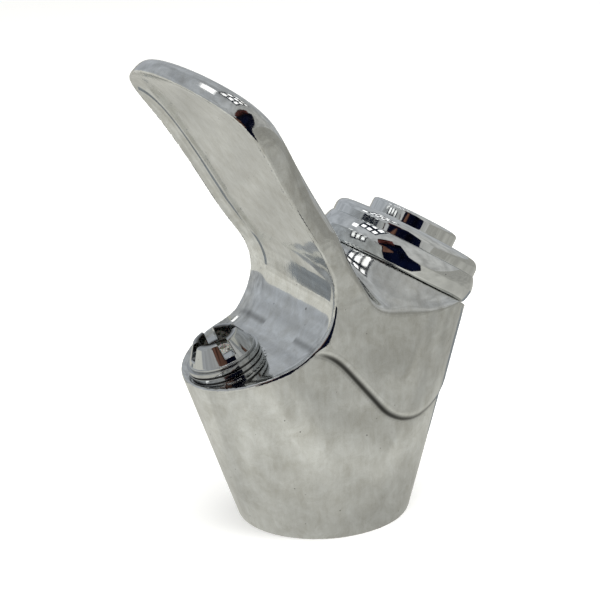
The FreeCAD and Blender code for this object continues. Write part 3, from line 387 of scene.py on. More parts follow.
    def distance(self, x, y, z):
        """The whole casting, with the spigot that the retaining ring screws onto."""
        valve, depth = along_axis(BOSS, BOSS_TILT, x, y, z)
        form = np.minimum(self.outside(x, y, z), rod(*self.SPIGOT, valve, depth))
        return soft_max(form, -self.bores(x, y, z), self.BORE_ROUND)


def gradient(distance, points, reach=0.02):
    """Direction in which a distance grows, at each point."""
    slopes = np.empty_like(points)
    for axis in range(3):
        shift = np.zeros(3)
        shift[axis] = reach
        slopes[:, axis] = distance(*(points + shift).T) - distance(*(points - shift).T)
    return slopes / (2.0 * reach)


def wrap_surface(distance, low, high, step):
    """Quads on the zero of a signed distance, with one point in each cell that it crosses."""
    counts = np.ceil((np.array(high) - np.array(low)) / step).astype(int) + 1
    axes = [low[i] + step * np.arange(counts[i]) for i in range(3)]
    samples = distance(*np.meshgrid(*axes, indexing="ij", sparse=True))
    solid = samples < 0
    touched = np.zeros(tuple(counts - 1), np.int8)
    for corner in np.ndindex(2, 2, 2):
        touched += solid[tuple(slice(c, n - 1 + c) for c, n in zip(corner, counts))]
    crossed = (touched > 0) & (touched < 8)
    cells = np.argwhere(crossed)
    number = np.full(crossed.shape, -1, np.int64)
    number[crossed] = np.arange(len(cells))
    total, hits = np.zeros((len(cells), 3)), np.zeros(len(cells))
    for axis in range(3):
        others = [a for a in range(3) if a != axis]
        for shift in np.ndindex(2, 2):
            near = cells.copy()
            near[:, others] += shift
            far = near.copy()
            far[:, axis] += 1
            first, last = samples[tuple(near.T)], samples[tuple(far.T)]
            change = (first < 0) != (last < 0)
            crossing = near.astype(float)
            crossing[:, axis] += np.where(change, first / np.where(change, first - last, 1.0), 0.0)
            total += crossing * change[:, None]
            hits += change
    points = total / hits[:, None] * step + np.array(low)
    quads = []
    for axis in range(3):
        u, v = (axis + 1) % 3, (axis + 2) % 3
        change = np.diff(solid.astype(np.int8), axis=axis)
        edges = np.argwhere(change)
        edges = edges[(edges[:, u] > 0) & (edges[:, v] > 0)]
        edges = edges[(edges[:, u] < counts[u] - 1) & (edges[:, v] < counts[v] - 1)]
        corners = []
        for back in ((1, 1), (0, 1), (0, 0), (1, 0)):
            cell = edges.copy()
            cell[:, [u, v]] -= back
            corners.append(number[tuple(cell.T)])
        quad = np.stack(corners, 1)
        flip = change[tuple(edges.T)] > 0
        quad[flip] = quad[flip][:, ::-1]
        quads.append(quad)
    return settle(distance, points, np.concatenate(quads), step)


def settle(distance, points, quads, step):
    """Evens a mesh out along its surface and draws it onto it: points, quads and normals."""
    weakest, longest_step = 0.05, 0.5 * step
    total, hits = np.zeros_like(points), np.zeros(len(points))
    for side in range(4):
        for other in ((side + 1) % 4, (side + 3) % 4):
            hits += np.bincount(quads[:, side], minlength=len(points))
            for axis in range(3):
                total[:, axis] += np.bincount(quads[:, side], points[quads[:, other], axis], len(points))
    normals = unit(gradient(distance, points))
    drift = total / hits[:, None] - points
    points = points + 0.5 * (drift - normals * np.sum(drift * normals, 1, keepdims=True))
    for _ in range(2):
        slopes = gradient(distance, points)
        squared = np.maximum(np.sum(slopes * slopes, 1), weakest)
        move = -(distance(*points.T) / squared)[:, None] * slopes
        length = np.linalg.norm(move, axis=1, keepdims=True)
        points = points + move * np.minimum(1.0, longest_step / np.maximum(length, TINY))
    return points, quads, unit(gradient(distance, points))


def arc_points(start, end, radius, count=14):
    """Points of an arc between two profile points; a positive radius bulges to the right of the way."""
    start, end = np.array(start, float), np.array(end, float)
    half = (end - start) / 2.0
    length = np.linalg.norm(half)
    side = np.array([half[1], -half[0]]) / length
    centre = start + half - side * np.sign(radius) * np.sqrt(max(radius ** 2 - length ** 2, 0.0))
    first = np.arctan2(*(start - centre)[::-1])
    last = np.arctan2(*(end - centre)[::-1])
    sweep = (last - first + np.pi) % (2.0 * np.pi) - np.pi
    angles = first + sweep * np.linspace(0.0, 1.0, count + 1)[1:-1]
    return [centre + abs(radius) * np.array([np.cos(a), np.sin(a)]) for a in angles]


def profile_points(corners, edge):
    """Closed profile from corners: radius, height and, where an arc follows, its radius. Sharp corners get
    a small round."""
    nearly_straight, most_of_side, round_steps = np.radians(160.0), 0.4, 6
    outline, sharp = [], []
    for index, corner in enumerate(corners):
        following = corners[(index + 1) % len(corners)]
        outline.append(np.array(corner[:2], float))
        sharp.append(True)
        if len(corner) > 2:
            bend = arc_points(corner[:2], following[:2], corner[2])
            outline += bend
            sharp += [False] * len(bend)
    rounded = []
    for index, point in enumerate(outline):
        before, after = outline[index - 1] - point, outline[(index + 1) % len(outline)] - point
        long_before, long_after = np.linalg.norm(before), np.linalg.norm(after)
        before, after = before / long_before, after / long_after
        opening = np.arccos(np.clip(before @ after, -1.0, 1.0))
        if not sharp[index] or point[0] < ON_AXIS or opening > nearly_straight:
            rounded.append(point)
            continue
        back = min(edge / np.tan(opening / 2.0), most_of_side * long_before, most_of_side * long_after)
        for t in np.linspace(0.0, 1.0, round_steps):
            rounded.append((1 - t) ** 2 * (point + before * back) + 2 * t * (1 - t) * point
                           + t ** 2 * (point + after * back))
    return np.array(rounded)


def turned_object(name, place, corners, edge, count=192):
    """Revolves a closed profile, counter-clockwise in (radius, height), round a frame's axis."""
    profile = profile_points(corners, edge)
    on_axis = profile[:, 0] < ON_AXIS
    ahead = np.roll(profile, -1, 0) - profile
    ahead[on_axis & np.roll(on_axis, -1)] = 0.0
    turns = np.stack([ahead[:, 1], -ahead[:, 0]], 1)
    slopes = unit(turns + np.roll(turns, 1, 0))
    slopes[on_axis, 0] = 0.0
    angles = np.linspace(0.0, 2.0 * np.pi, count, endpoint=False)
    points, normals, first = [], [], []
    for (radius, height), slope, pole in zip(profile, slopes, on_axis):
        first.append(len(points))
        for angle in (angles[:1] if pole else angles):
            c, s = np.cos(angle), np.sin(angle)
            points.append((radius * c, radius * s, height))
            normals.append((slope[0] * c, slope[0] * s, slope[1]))
    triangles = []
    for index in range(len(profile)):
        following = (index + 1) % len(profile)
        a, b = first[index], first[following]
        if on_axis[index] and on_axis[following]:
            continue
        for step in range(count):
            nxt = (step + 1) % count
            low = (a, a) if on_axis[index] else (a + step, a + nxt)
            top = (b, b) if on_axis[following] else (b + step, b + nxt)
            ring = list(dict.fromkeys((low[0], low[1], top[1], top[0])))
            triangles += [(ring[0], second, third) for second, third in zip(ring[1:], ring[2:])]
    return mesh_object(name, in_frame(place, points), triangles, unit(in_frame(place, normals, True)))


class HeadSizes(bpy.types.PropertyGroup):
    """Sizes of the cast head and its turned parts."""

    guard_lean: angle_setting("Guard lean", "How far the mouth guard leans forward", 29.7)
    tip_radius: length_setting("Tip curl", "Radius on which the guard's tip curls forward", 90.0)
    guard_thickness: length_setting("Guard thickness", "Thickness of the guard's edge", 5.8)
    tip_thickness: length_setting("Tip thickness", "Thickness of the guard at its tip", 3.2)
    dish_depth: length_setting("Dish depth", "Hollow of the guard's face and of the platform", 1.7)
    base_radius: length_setting("Foot radius", "Radius of the round foot", 20.7)
    mesh_step: length_setting("Mesh step", "Grid step of the casting's surface", 0.5)
    crown_step: length_setting("Crown mesh step", "Grid step of the crown's surface", 0.14)
    edge_round: length_setting("Edge round", "Round on the edges of turned parts", 0.22)


class HeadColours(bpy.types.PropertyGroup):
    """Colours of the finishes and of the floor."""

    chrome: colour_setting("Chrome", "Colour of the plating", "#e8eaea")
    chrome_haze: colour_setting("Chrome haze", "Plating where the polish is cloudy", "#cdcdc9")
    rubber: colour_setting("Rubber", "Seals and gaskets", "#1d1d1e")
    acetal: colour_setting("Acetal", "White moulded cartridge parts", "#e6e4dc")
    steel: colour_setting("Stainless steel", "Spring, clip, washer and screws", "#c2bfb8")
    brass: colour_setting("Brass", "Bare turned brass inside the valve", "#d0a95a")
    floor: colour_setting("Floor", "Pale floor under the object", "#eeede9")


def material_base(name):
    """A new material with an empty tree, and the object's own coordinates in it."""
    material = bpy.data.materials.new(name)
    tree = empty_tree(material)
    return material, tree, add_node(tree, "TexCoord").outputs["Object"]


def shade(tree, settings, **links):
    """Ends a tree with the shader and the output."""
    shader = add_node(tree, "BsdfPrincipled", settings, **links)
    add_node(tree, "OutputMaterial", Surface=shader)


def chrome_plate(name, colours, low, high, wave):
    """Chrome plate on buffed brass. The mop leaves slow waves that bend the reflections, upright streaks
    and a cloudy haze, weaker where high and low are far apart. Pin-prick pits read as dark specks, and
    painted shade darkens the plating in creases, hollows and grooves."""
    material, tree, place = material_base(name)
    cloud = add_node(tree, "TexNoise",
                     {"Scale": PER_MM / 5.0, "Detail": 6.0, "Roughness": 0.72, "Distortion": 0.4},
                     Vector=place)
    upright = add_node(tree, "Mapping", {"Scale": (1.0, 1.0, 0.2)}, Vector=place)
    streak = add_node(tree, "TexNoise", {"Scale": PER_MM / 1.4, "Detail": 4.0, "Roughness": 0.7},
                      Vector=upright)
    both = add_node(tree, "Math", {"operation": "MULTIPLY_ADD", 1: 0.35}, _0=streak, _2=cloud)
    haze = add_node(tree, "MapRange", {"From Min": low, "From Max": high}, Value=both)
    plate = add_node(tree, "Mix",
                     {"data_type": "RGBA", 6: tuple(colours.chrome), 7: tuple(colours.chrome_haze)},
                     _0=haze).outputs[2]
    cells = add_node(tree, "TexVoronoi", {"Scale": PER_MM / 3.2}, Vector=place).outputs["Distance"]
    patchy = add_node(tree, "TexNoise", {"Scale": PER_MM / 9.0}, Vector=place)
    reach = add_node(tree, "MapRange", {"From Min": 0.42, "From Max": 0.7, "To Min": 0.0, "To Max": 0.105},
                     Value=patchy)
    pit = add_node(tree, "Math", {"operation": "LESS_THAN"}, _0=cells, _1=reach)
    # Painted shade from the point attribute, added to the pits' dark specks
    painted_shade = add_node(tree, "Attribute", {"attribute_name": PAINTED_SHADE}).outputs["Fac"]
    dark = add_node(tree, "Math", {"operation": "MULTIPLY_ADD", 1: 0.6}, _0=pit, _2=painted_shade)
    colour = add_node(tree, "Mix", {"data_type": "RGBA", 7: linear("#23221f")},
                      _0=dark, _6=plate).outputs[2]
    rough = add_node(tree, "MapRange", {"To Min": 0.045, "To Max": 0.11}, Value=haze)
    slow = add_node(tree, "TexNoise", {"Scale": PER_MM / 9.0, "Detail": 1.5, "Roughness": 0.4},
                    Vector=place)
    waves = add_node(tree, "Bump", {"Strength": wave, "Distance": 2.0 * MM}, Height=slow)
    mop = add_node(tree, "Bump", {"Strength": wave * 0.6, "Distance": 0.3 * MM},
                   Height=streak, Normal=waves)
    shade(tree, {"Metallic": 1.0}, Base_Color=colour, Roughness=rough, Normal=mop)
    return material


def nitrile_rubber(name, colours):
    """Moulded nitrile rubber: near black with a soft, slightly patchy sheen."""
    material, tree, place = material_base(name)
    patch = add_node(tree, "TexNoise", {"Scale": PER_MM / 2.0, "Detail": 3.0}, Vector=place)
    colour = add_node(tree, "Mix", {"data_type": "RGBA", 6: tuple(colours.rubber), 7: linear("#2b2b2c")},
                      _0=patch).outputs[2]
    rough = add_node(tree, "MapRange",
                     {"From Min": 0.3, "From Max": 0.7, "To Min": 0.5, "To Max": 0.68}, Value=patch)
    skin = add_node(tree, "TexNoise", {"Scale": PER_MM / 0.3}, Vector=place)
    bump = add_node(tree, "Bump", {"Strength": 0.15, "Distance": 0.1 * MM}, Height=skin)
    shade(tree, None, Base_Color=colour, Roughness=rough, Normal=bump)
    return material


def moulded_acetal(name, colours):
    """Moulded acetal: waxy white with a little light passing under its surface."""
    material, tree, place = material_base(name)
    flow = add_node(tree, "TexNoise", {"Scale": PER_MM / 4.0}, Vector=place)
    colour = add_node(tree, "Mix", {"data_type": "RGBA", 6: tuple(colours.acetal), 7: linear("#dedbd0")},
                      _0=flow).outputs[2]
    rough = add_node(tree, "MapRange",
                     {"From Min": 0.3, "From Max": 0.7, "To Min": 0.3, "To Max": 0.42}, Value=flow)
    shade(tree, {"Subsurface Weight": 0.1, "Subsurface Scale": 1.0 * MM},
          Base_Color=colour, Roughness=rough)
    return material


def drawn_metal(name, colour, dark, rough, line):
    """Turned or drawn metal: fine tool lines round the part and a faint change of tone."""
    material, tree, place = material_base(name)
    tone = add_node(tree, "TexNoise", {"Scale": PER_MM / 3.0, "Detail": 3.0}, Vector=place)
    blend = add_node(tree, "Mix", {"data_type": "RGBA", 6: tuple(colour), 7: dark}, _0=tone).outputs[2]
    polish = add_node(tree, "MapRange",
                      {"From Min": 0.3, "From Max": 0.7, "To Min": rough * 0.8, "To Max": rough * 1.25},
                      Value=tone)
    lines = add_node(tree, "TexWave", {"Scale": PER_MM / line, "Distortion": 1.5, "bands_direction": "Z"},
                     Vector=place).outputs["Fac"]
    bump = add_node(tree, "Bump", {"Strength": 0.12, "Distance": 0.05 * MM}, Height=lines)
    shade(tree, {"Metallic": 1.0}, Base_Color=blend, Roughness=polish, Normal=bump)
    return material


def finish_named(slot):
    """The material of one slot, made once."""
    colours = bpy.context.scene.head_colours
    name = slot + "_finish"
    made = bpy.data.materials.get(name)
    if made:
        return made
    makers = {
        "chrome_plate": lambda: chrome_plate(name, colours, low=0.5, high=0.85, wave=0.06),
        "turned_chrome": lambda: chrome_plate(name, colours, low=0.7, high=2.0, wave=0.02),
        "black_rubber": lambda: nitrile_rubber(name, colours),
        "acetal": lambda: moulded_acetal(name, colours),
        "stainless": lambda: drawn_metal(name, colours.steel, linear("#a9a6a0"), rough=0.24, line=0.4),
        "raw_brass": lambda: drawn_metal(name, colours.brass, linear("#b98f45"), rough=0.28, line=0.5),
    }
    return makers[slot]()


class HeadOperator:
    """What the operators share."""

    bl_options = {"REGISTER", "UNDO"}


class HEAD_OT_casting(HeadOperator, bpy.types.Operator):
    """Makes the cast head with its guard, platform, skirt, collar and bores"""

    bl_idname = "head.casting"
    bl_label = "Cast Head"

    LOW, HIGH = (-33.0, -42.0, -1.3), (33.0, 40.0, 115.0)
    DEEPEST_PAINTED_SHADE = 0.95

    def execute(self, context):
        sizes = context.scene.head_sizes
        casting = Casting(sizes)
        points, quads, normals = wrap_surface(casting.distance, self.LOW, self.HIGH, sizes.mesh_step / MM)
        thing = mesh_object("cast_head", points, quads, normals)
        # Painted shade along the crease under the skirt's edge
        mark_painted_shade(thing, self.DEEPEST_PAINTED_SHADE * casting.painted_shade(*points.T))
        hand_over(thing, "head", finish_named("chrome_plate"), "faucet_body")
        return {"FINISHED"}


class HEAD_OT_stack(HeadOperator, bpy.types.Operator):
    """Turns the retaining ring, the cap and the push button"""

    bl_idname = "head.stack"
    bl_label = "Push-Button Stack"

    PIECES = (
        ("retaining_ring", "head", "bonnet_ring",
         ((15.05, 0.5), (17.95, 0.5), (17.95, 0.12), (18.7, 0.12, 1.2), (19.45, 0.8, 16.0),
          (20.0, 3.4, 9.0), (19.0, 6.6), (16.6, 6.6), (16.6, 5.1), (15.05, 5.1))),
        ("stack_cap", "head", "bonnet_cap",
         ((12.6, 5.15), (16.55, 5.15), (16.55, 6.6), (18.8, 6.6), (18.75, 8.4, 2.1), (16.9, 10.4),
          (11.18, 10.9), (11.18, 8.0), (12.6, 8.0))),
        ("button_cap", "button", "push_button",
         ((2.05, 5.5), (3.6, 5.5), (3.6, 11.8), (9.0, 11.8), (9.0, 6.8), (12.2, 6.8), (12.2, 8.0),
          (11.1, 8.0), (11.1, 13.1, 0.9), (10.2, 14.0), (0.0, 14.0), (0.0, 11.8), (2.05, 11.8))),
    )

    def execute(self, context):
        edge = context.scene.head_sizes.edge_round / MM
        for name, body, node, corners in self.PIECES:
            thing = turned_object(name, BOSS_FRAME, corners, edge)
            hand_over(thing, body, finish_named("turned_chrome"), node)
        return {"FINISHED"}


class HEAD_OT_spring(HeadOperator, bpy.types.Operator):
    """Winds the return spring"""

    bl_idname = "head.spring"
    bl_label = "Return Spring"

    TURNS, RADIUS, WIRE = 6, 6.6, 0.45
    FOOT, TOP, CLOSED_RISE, STROKE = -3.4, 11.8, 0.99, 3.0
    STEPS_PER_TURN, WIRE_SIDES = 48, 12

    def execute(self, context):
        low, high = self.FOOT + self.WIRE, self.TOP - self.WIRE
        turned = np.linspace(0.0, self.TURNS, self.TURNS * self.STEPS_PER_TURN + 1)
        height = np.interp(turned, [0.0, 1.0, self.TURNS - 1.0, self.TURNS],
                           [low, low + self.CLOSED_RISE, high - self.CLOSED_RISE, high])
        angle = 2.0 * np.pi * turned
        outward = np.stack([np.cos(angle), np.sin(angle), 0.0 * angle], 1)
        centres = self.RADIUS * outward + np.stack([0.0 * angle, 0.0 * angle, height], 1)
        ahead = np.gradient(centres, axis=0)
        across = unit(np.cross(ahead, outward))
        bends = (2.0 * np.pi * np.arange(self.WIRE_SIDES) / self.WIRE_SIDES)[:, None]
        normals = (outward[:, None] * np.cos(bends) + across[:, None] * np.sin(bends)).reshape(-1, 3)
        points = np.repeat(centres, self.WIRE_SIDES, 0) + self.WIRE * normals
        last = len(points)
        end = last - self.WIRE_SIDES
        points = np.concatenate([points, centres[:1], centres[-1:]])
        normals = np.concatenate([normals, -ahead[:1], ahead[-1:]])
        triangles = []
        for side in range(self.WIRE_SIDES):
            following = (side + 1) % self.WIRE_SIDES
            for step in range(0, end, self.WIRE_SIDES):
                a, b = step + side, step + following
                c, d = a + self.WIRE_SIDES, b + self.WIRE_SIDES
                triangles += [(a, c, b), (b, c, d)]
            triangles += [(last, side, following), (last + 1, end + following, end + side)]
        thing = mesh_object("wound_spring", in_frame(BOSS_FRAME, points), triangles,
                            in_frame(BOSS_FRAME, normals, True))
        hand_over(thing, "head", finish_named("stainless"), "return_spring")
        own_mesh(thing)
        return {"FINISHED"}


class HEAD_OT_nozzle(HeadOperator, bpy.types.Operator):
    """Makes the clamp ring and the crown with its four slots"""

    bl_idname = "head.nozzle"
    bl_label = "Clamp Ring and Crown"

    LOW, HIGH = (-9.0, -9.0, -9.6), (9.0, 9.0, 9.6)
    # Radius, foot and top
    SHANK, BOWL, JET = (5.5, -9.0, 4.2), (4.1, 2.5, 12.0), (1.9, -12.0, 4.0)
    FLANGE_RADIUS, FLANGE_LEVEL, FLANGE_HALF, FLANGE_ROUND = 8.2, 4.25, 0.35, 0.3
    CONE_RADIUS, CONE_LEVEL, CONE_SLOPE, CONE_SQUARE = 7.9, 4.6, 0.581, 0.865
    CONE_FOOT, CONE_TOP, CONE_ROUND = 4.3, 8.9, 0.5
    SLOT_TURN, SLOT_HALF, SLOT_FOOT, CUT_ROUND = -4.0, 1.25, 5.7, 0.35
    RING = ((5.6, 0.8), (7.65, 0.8), (7.65, 0.0), (8.9, 0.0), (8.9, 0.967), (8.45, 0.967), (8.45, 1.467),
            (8.9, 1.467), (8.9, 2.433), (8.45, 2.433), (8.45, 2.933), (8.9, 2.933), (8.9, 3.9), (5.6, 3.9))
    RING_EDGE = 0.12
    # Painted shade on the clamp ring: deep in its grooves, lighter on the rest
    GROOVE_RADIUS, GROOVES_LOW, GROOVES_HIGH, GROOVE_DARK, RIDGE_DARK = 8.75, 0.2, 3.7, 0.9, 0.3

    def crown(self, x, y, z):
        """Distance to the crown in its own frame: shank, flange and cone, less bowl, jet and slots."""
        across = np.hypot(x, y)
        flange = soft_max(across - self.FLANGE_RADIUS, np.abs(z - self.FLANGE_LEVEL) - self.FLANGE_HALF,
                          self.FLANGE_ROUND)
        side = (across - self.CONE_RADIUS + (z - self.CONE_LEVEL) * self.CONE_SLOPE) * self.CONE_SQUARE
        cone = soft_max(side, np.maximum(self.CONE_FOOT - z, z - self.CONE_TOP), self.CONE_ROUND)
        form = np.minimum(np.minimum(rod(*self.SHANK, across, z), flange), cone)
        form = soft_max(form, -rod(*self.BOWL, across, z), self.CUT_ROUND)
        form = np.maximum(form, -rod(*self.JET, across, z))
        for quarter in (0.0, 90.0):
            angle = np.radians(self.SLOT_TURN + quarter)
            off = np.abs(-x * np.sin(angle) + y * np.cos(angle)) - self.SLOT_HALF
            form = soft_max(form, -np.maximum(off, self.SLOT_FOOT - z), self.CUT_ROUND)
        return form

    def execute(self, context):
        sizes = context.scene.head_sizes
        points, quads, normals = wrap_surface(self.crown, self.LOW, self.HIGH, sizes.crown_step / MM)
        crown = mesh_object("crown_tip", in_frame(NOZZLE_FRAME, points), quads,
                            in_frame(NOZZLE_FRAME, normals, True))
        # Painted shade: dark in the crown's bowl, less beyond its rim
        painted_bowl_shade, paler, bowl_radius, rim_width = 0.85, 0.6, 4.2, 1.0
        across = np.hypot(points[:, 0], points[:, 1])
        mark_painted_shade(crown, painted_bowl_shade - paler * ramp(across, bowl_radius, rim_width))
        hand_over(crown, "head", finish_named("turned_chrome"), "nozzle_crown")
        ring = turned_object("clamp_ring", NOZZLE_FRAME, self.RING, self.RING_EDGE)
        spots = [NOZZLE_FRAME.inverted() @ (vertex.co / MM) for vertex in ring.data.vertices]
        in_groove = [self.GROOVES_LOW < spot.z < self.GROOVES_HIGH and spot.xy.length < self.GROOVE_RADIUS
                     for spot in spots]
        mark_painted_shade(ring, np.where(in_groove, self.GROOVE_DARK, self.RIDGE_DARK))
        hand_over(ring, "head", finish_named("turned_chrome"), "nozzle_ring")
        return {"FINISHED"}


class HEAD_OT_inner_finishes(HeadOperator, bpy.types.Operator):
    """Gives every solid that stays its finish"""

    bl_idname = "head.inner_finishes"
    bl_label = "Finish Inner Parts"

    def execute(self, context):
        slots = {part["node"]: part["material_slot"] for part in frame["record"]["subparts"]}
        for name, node in frame["nodes"].items():
            if name not in slots:
                raise RuntimeError("no slot for " + name)
            for slot in node.material_slots:
                slot.material = finish_named(slots[name])
        return {"FINISHED"}


class HEAD_OT_studio(HeadOperator, bpy.types.Operator):
    """Sets the floor, the lamps, the surroundings and the camera"""

    bl_idname = "head.studio"
    bl_label = "Studio"

    CORNERS = ((-1, -1), (1, -1), (1, 1), (-1, 1))
    FLOOR_HALF = 6000.0
    PHOTO_WIDTH, FILM_WIDTH = 600.0, 36.0

    def execute(self, context):
        colours = context.scene.head_colours
        self.floor(colours)
        self.world(context)
        self.cards()
        self.lamps()
        self.camera(context)
        context.scene.view_settings.view_transform = "Standard"
        return {"FINISHED"}

    def floor(self, colours):
        """A wide pale floor: white paper for the camera; in the metal painted light and shade, paler on the
        left than on the right.
        """
        corners = [(x * self.FLOOR_HALF, y * self.FLOOR_HALF, 0.0) for x, y in self.CORNERS]
        floor = mesh_object("floor", corners, [(0, 1, 2, 3)])
        material, tree, place = material_base("matt_paper_floor")
        path = add_node(tree, "LightPath")
        floor_sheet = add_node(tree, "BsdfDiffuse", {"Color": tuple(colours.floor)})
        lift = add_node(tree, "Emission", {"Color": (1, 1, 1, 1), "Strength": 0.36})
        lifted = add_node(tree, "AddShader", None, _0=floor_sheet, _1=lift)
        seen = add_node(tree, "MixShader", None, Fac=path.outputs["Is Camera Ray"], _1=floor_sheet, _2=lifted)
        slant = add_node(tree, "VectorMath", {"operation": "DOT_PRODUCT", 1: (-0.15, -1.6, 0.0)},
                         _0=place).outputs["Value"]
        reach = add_node(tree, "VectorMath", {"operation": "LENGTH"}, _0=place).outputs["Value"]
        cloud = add_node(tree, "TexNoise", {"Scale": PER_MM / 45.0, "Detail": 3.0}, Vector=place)
        # Its painted light and shade in the metal: a painted glow near the foot, a painted contact shadow,
        # patches, and painted light falling off along the slant
        levels = [add_node(tree, "MapRange",
                           {"From Min": start, "From Max": end, "To Min": first, "To Max": last},
                           Value=value)
                  for start, end, first, last, value in (
                      (0.03, 0.11, 1.3, 1.0, reach), (0.03, 0.055, 0.7, 1.0, reach),
                      (0.35, 0.65, 0.87, 1.15, cloud), (-0.35, 0.35, 0.34, 0.76, slant))]
        level = levels[0]
        for share in levels[1:]:
            level = add_node(tree, "Math", {"operation": "MULTIPLY"}, _0=level, _1=share)
        painted_floor_light = add_node(tree, "Emission", {"Color": linear("#fbfaf1")}, Strength=level)
        mix = add_node(tree, "MixShader", None, Fac=path.outputs["Is Glossy Ray"], _1=seen, _2=painted_floor_light)
        add_node(tree, "OutputMaterial", Surface=mix)
        floor.data.materials.append(material)

    def world(self, context):
        """White for the camera; for the metal a grey room, cooler on the window side and overhead."""
        world = bpy.data.worlds.new("room")
        context.scene.world = world
        tree = empty_tree(world)
        path = add_node(tree, "LightPath")
        toward = add_node(tree, "TexCoord").outputs["Generated"]
        side = add_node(tree, "VectorMath", {"operation": "DOT_PRODUCT", 1: (-0.5, -0.1, 0.1)},
                        _0=toward).outputs["Value"]
        share = add_node(tree, "MapRange", {"From Min": -0.4, "From Max": 0.5}, Value=side)
        walls = add_node(tree, "Mix", {"data_type": "RGBA", 6: linear("#b5b5b2"), 7: linear("#aeb2b7")},
                         _0=share).outputs[2]
        patch = add_node(tree, "TexNoise", {"Scale": 5.0, "Detail": 4.0}, Vector=toward)
        level = add_node(tree, "MapRange",
                         {"From Min": 0.35, "From Max": 0.65, "To Min": 0.8, "To Max": 1.2},
                         Value=patch)
        metal = add_node(tree, "Background", None, Color=walls, Strength=level)
        room = add_node(tree, "Background", {"Color": linear("#e4e5e6"), "Strength": 0.8})
        white = add_node(tree, "Background", {"Color": (1, 1, 1, 1)})
        glossy = add_node(tree, "MixShader", None, Fac=path.outputs["Is Glossy Ray"], _1=room, _2=metal)
        mix = add_node(tree, "MixShader", None, Fac=path.outputs["Is Camera Ray"], _1=glossy, _2=white)
        add_node(tree, "OutputWorld", Surface=mix)

    def cards(self):
        """Flags, panels, a ceiling with panes, and grey sheets of painted shadow on the floor, seen only in
        the metal.
        """
        felt = self.card_material("navy_felt", linear("#020309"), linear("#090e24"), 0.05)
        wood = self.card_material("stained_wood", linear("#150b09"), linear("#6e4f42"), 0.03)
        cloth = self.card_material("madder_cloth", linear("#1d0a0a"), linear("#5e3530"), 0.05)
        slate = self.card_material("slate_wall", linear("#10151c"), linear("#2c3440"), 0.05)
        glass = self.card_material("skylight_glass", (1.5, 1.5, 1.5, 1.0), (1.9, 1.9, 1.9, 1.0), 0.05)
        for name, bearing, distance, width, low, high, material in (
            ("navy_flag", -24.0, 155.0, 150.0, 0.0, 250.0, felt),
            ("cloth_panel", -30.0, 150.0, 100.0, 225.0, 300.0, cloth),
            ("wood_panel", -50.0, 140.0, 86.0, 80.0, 155.0, wood),
        ):
            angle = np.radians(bearing)
            out, along = np.array([np.cos(angle), np.sin(angle)]), np.array([-np.sin(angle), np.cos(angle)])
            left, right = out * distance - along * width / 2.0, out * distance + along * width / 2.0
            self.card(name, [(*left, low), (*right, low), (*right, high), (*left, high)], material)
        overhead = [("dark_ceiling", (0.0, -15.0, 305.0), 140.0, 170.0, slate),
                    ("ceiling_lamp", (-95.0, -108.0, 300.0), 46.0, 46.0, glass)]
        first, apart, pane, level = (-42.0, -70.0), (42.0, 55.0), (27.0, 32.0), 300.0
        for row, column in np.ndindex(3, 3):
            spot = (first[0] + apart[0] * column, first[1] + apart[1] * row, level)
            overhead.append(("pane_%d_%d" % (row, column), spot, *pane, glass))
        for name, (x, y, z), across, along, material in overhead:
            self.card(name, [(x + dx * across / 2.0, y + dy * along / 2.0, z) for dx, dy in self.CORNERS],
                      material)
        # Painted shadow: grey sheets lying on the floor, seen only in the metal
        floor_sheet = self.card_material("painted_floor_shadow", linear("#7d8286"), linear("#8d9295"), 0.02)
        for name, corners in (
            ("painted_shadow_sheet", ((-122.0, -40.0), (-232.0, -132.0), (-212.0, -156.0), (-92.0, -55.0))),
            ("painted_rear_shadow", ((-12.0, 48.0), (-42.0, 34.0), (-120.0, 95.0), (-45.0, 130.0))),
        ):
            self.card(name, [(*corner, 1.0) for corner in corners], floor_sheet)

    def card(self, name, corners, material):
        """One flat card that only the metal sees."""
        card = mesh_object(name, corners, [(0, 1, 2, 3)])
        card.data.materials.append(material)
        card.visible_camera = card.visible_diffuse = False
        card.visible_shadow = card.visible_transmission = False

    def card_material(self, name, dark, light, size):
        """A card's colour, uneven so that its reflection isn't flat."""
        material, tree, place = material_base(name)
        patch = add_node(tree, "TexNoise", {"Scale": 1.0 / size, "Detail": 2.0}, Vector=place)
        share = add_node(tree, "MapRange", {"From Min": 0.35, "From Max": 0.65}, Value=patch)
        tone = add_node(tree, "Mix", {"data_type": "RGBA", 6: dark, 7: light}, _0=share).outputs[2]
        glow = add_node(tree, "Emission", Color=tone)
        add_node(tree, "OutputMaterial", Surface=glow)
        return material

    def lamps(self):
        """Soft boxes round the object. The metal shows the room instead of them."""
        middle = Vector((0.0, 0.0, 0.05))
        for name, spot, size, power in (("soft_box_top", (0.1, 0.0, 0.9), 0.8, 6.0),
                                        ("soft_box_side", (0.7, 0.5, 0.6), 0.5, 3.0)):
            light = bpy.data.lights.new(name, "AREA")
            light.size = size
            light.energy = power
            lamp = bpy.data.objects.new(name, light)
            lamp.location = spot
            lamp.rotation_euler = (middle - Vector(spot)).to_track_quat("-Z", "Y").to_euler()
            lamp.visible_glossy = False
            bpy.context.scene.collection.objects.link(lamp)

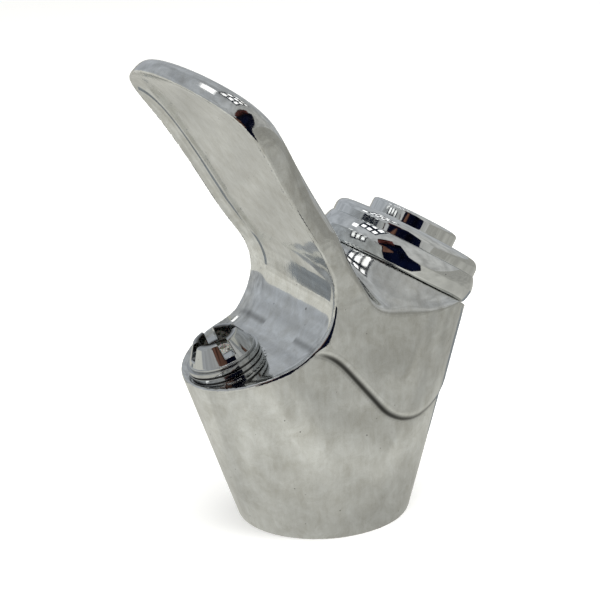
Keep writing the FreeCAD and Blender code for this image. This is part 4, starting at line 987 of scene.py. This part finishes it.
    def camera(self, context):
        """The photograph's view: 64 degrees round from the front, 17 degrees up, 375 mm away."""
        round_by, up_by, roll = np.radians((64.0, 17.0, -2.5))
        target, distance, focal = np.array([0.0, -4.0, 53.0]), 375.0, 1590.0
        level_share = np.cos(up_by)
        back = np.array([np.sin(round_by) * level_share, -np.cos(round_by) * level_share, np.sin(up_by)])
        level = np.array([np.cos(round_by), np.sin(round_by), 0.0])
        raised = np.cross(back, level)
        right = level * np.cos(roll) + raised * np.sin(roll)
        above = np.cross(back, right)
        data = bpy.data.cameras.new("camera")
        data.sensor_width = self.FILM_WIDTH
        data.lens = focal * self.FILM_WIDTH / self.PHOTO_WIDTH
        camera = bpy.data.objects.new("camera", data)
        columns = np.stack([right, above, back, (target + back * distance) * MM], 1)
        camera.matrix_world = Matrix([*columns.tolist(), (0.0, 0.0, 0.0, 1.0)])
        context.scene.collection.objects.link(camera)
        context.scene.camera = camera


class HEAD_PT_panel(bpy.types.Panel):
    """Lists the sizes, the colours and the steps"""

    bl_idname = "HEAD_PT_panel"
    bl_label = "Drinking Head"
    bl_space_type = "VIEW_3D"
    bl_region_type = "UI"
    bl_category = PANEL_TAB

    def draw(self, context):
        for group in (context.scene.head_sizes, context.scene.head_colours):
            box = self.layout.box()
            for name in group.__annotations__:
                box.prop(group, name)
        for step in STEPS:
            self.layout.operator(step.bl_idname)


STEPS = (HEAD_OT_inner_finishes, HEAD_OT_casting, HEAD_OT_stack, HEAD_OT_spring, HEAD_OT_nozzle,
         HEAD_OT_studio)
CLASSES = (HeadSizes, HeadColours) + STEPS + (HEAD_PT_panel,)


def register():
    for item in CLASSES:
        bpy.utils.register_class(item)
    bpy.types.Scene.head_sizes = PointerProperty(type=HeadSizes)
    bpy.types.Scene.head_colours = PointerProperty(type=HeadColours)


def unregister():
    del bpy.types.Scene.head_colours
    del bpy.types.Scene.head_sizes
    for item in reversed(CLASSES):
        bpy.utils.unregister_class(item)


def main():
    register()
    bpy.ops.head.inner_finishes()
    bpy.ops.head.casting()
    bpy.ops.head.stack()
    bpy.ops.head.spring()
    bpy.ops.head.nozzle()
    bpy.ops.head.studio()


if __name__ == "__main__":
    main()
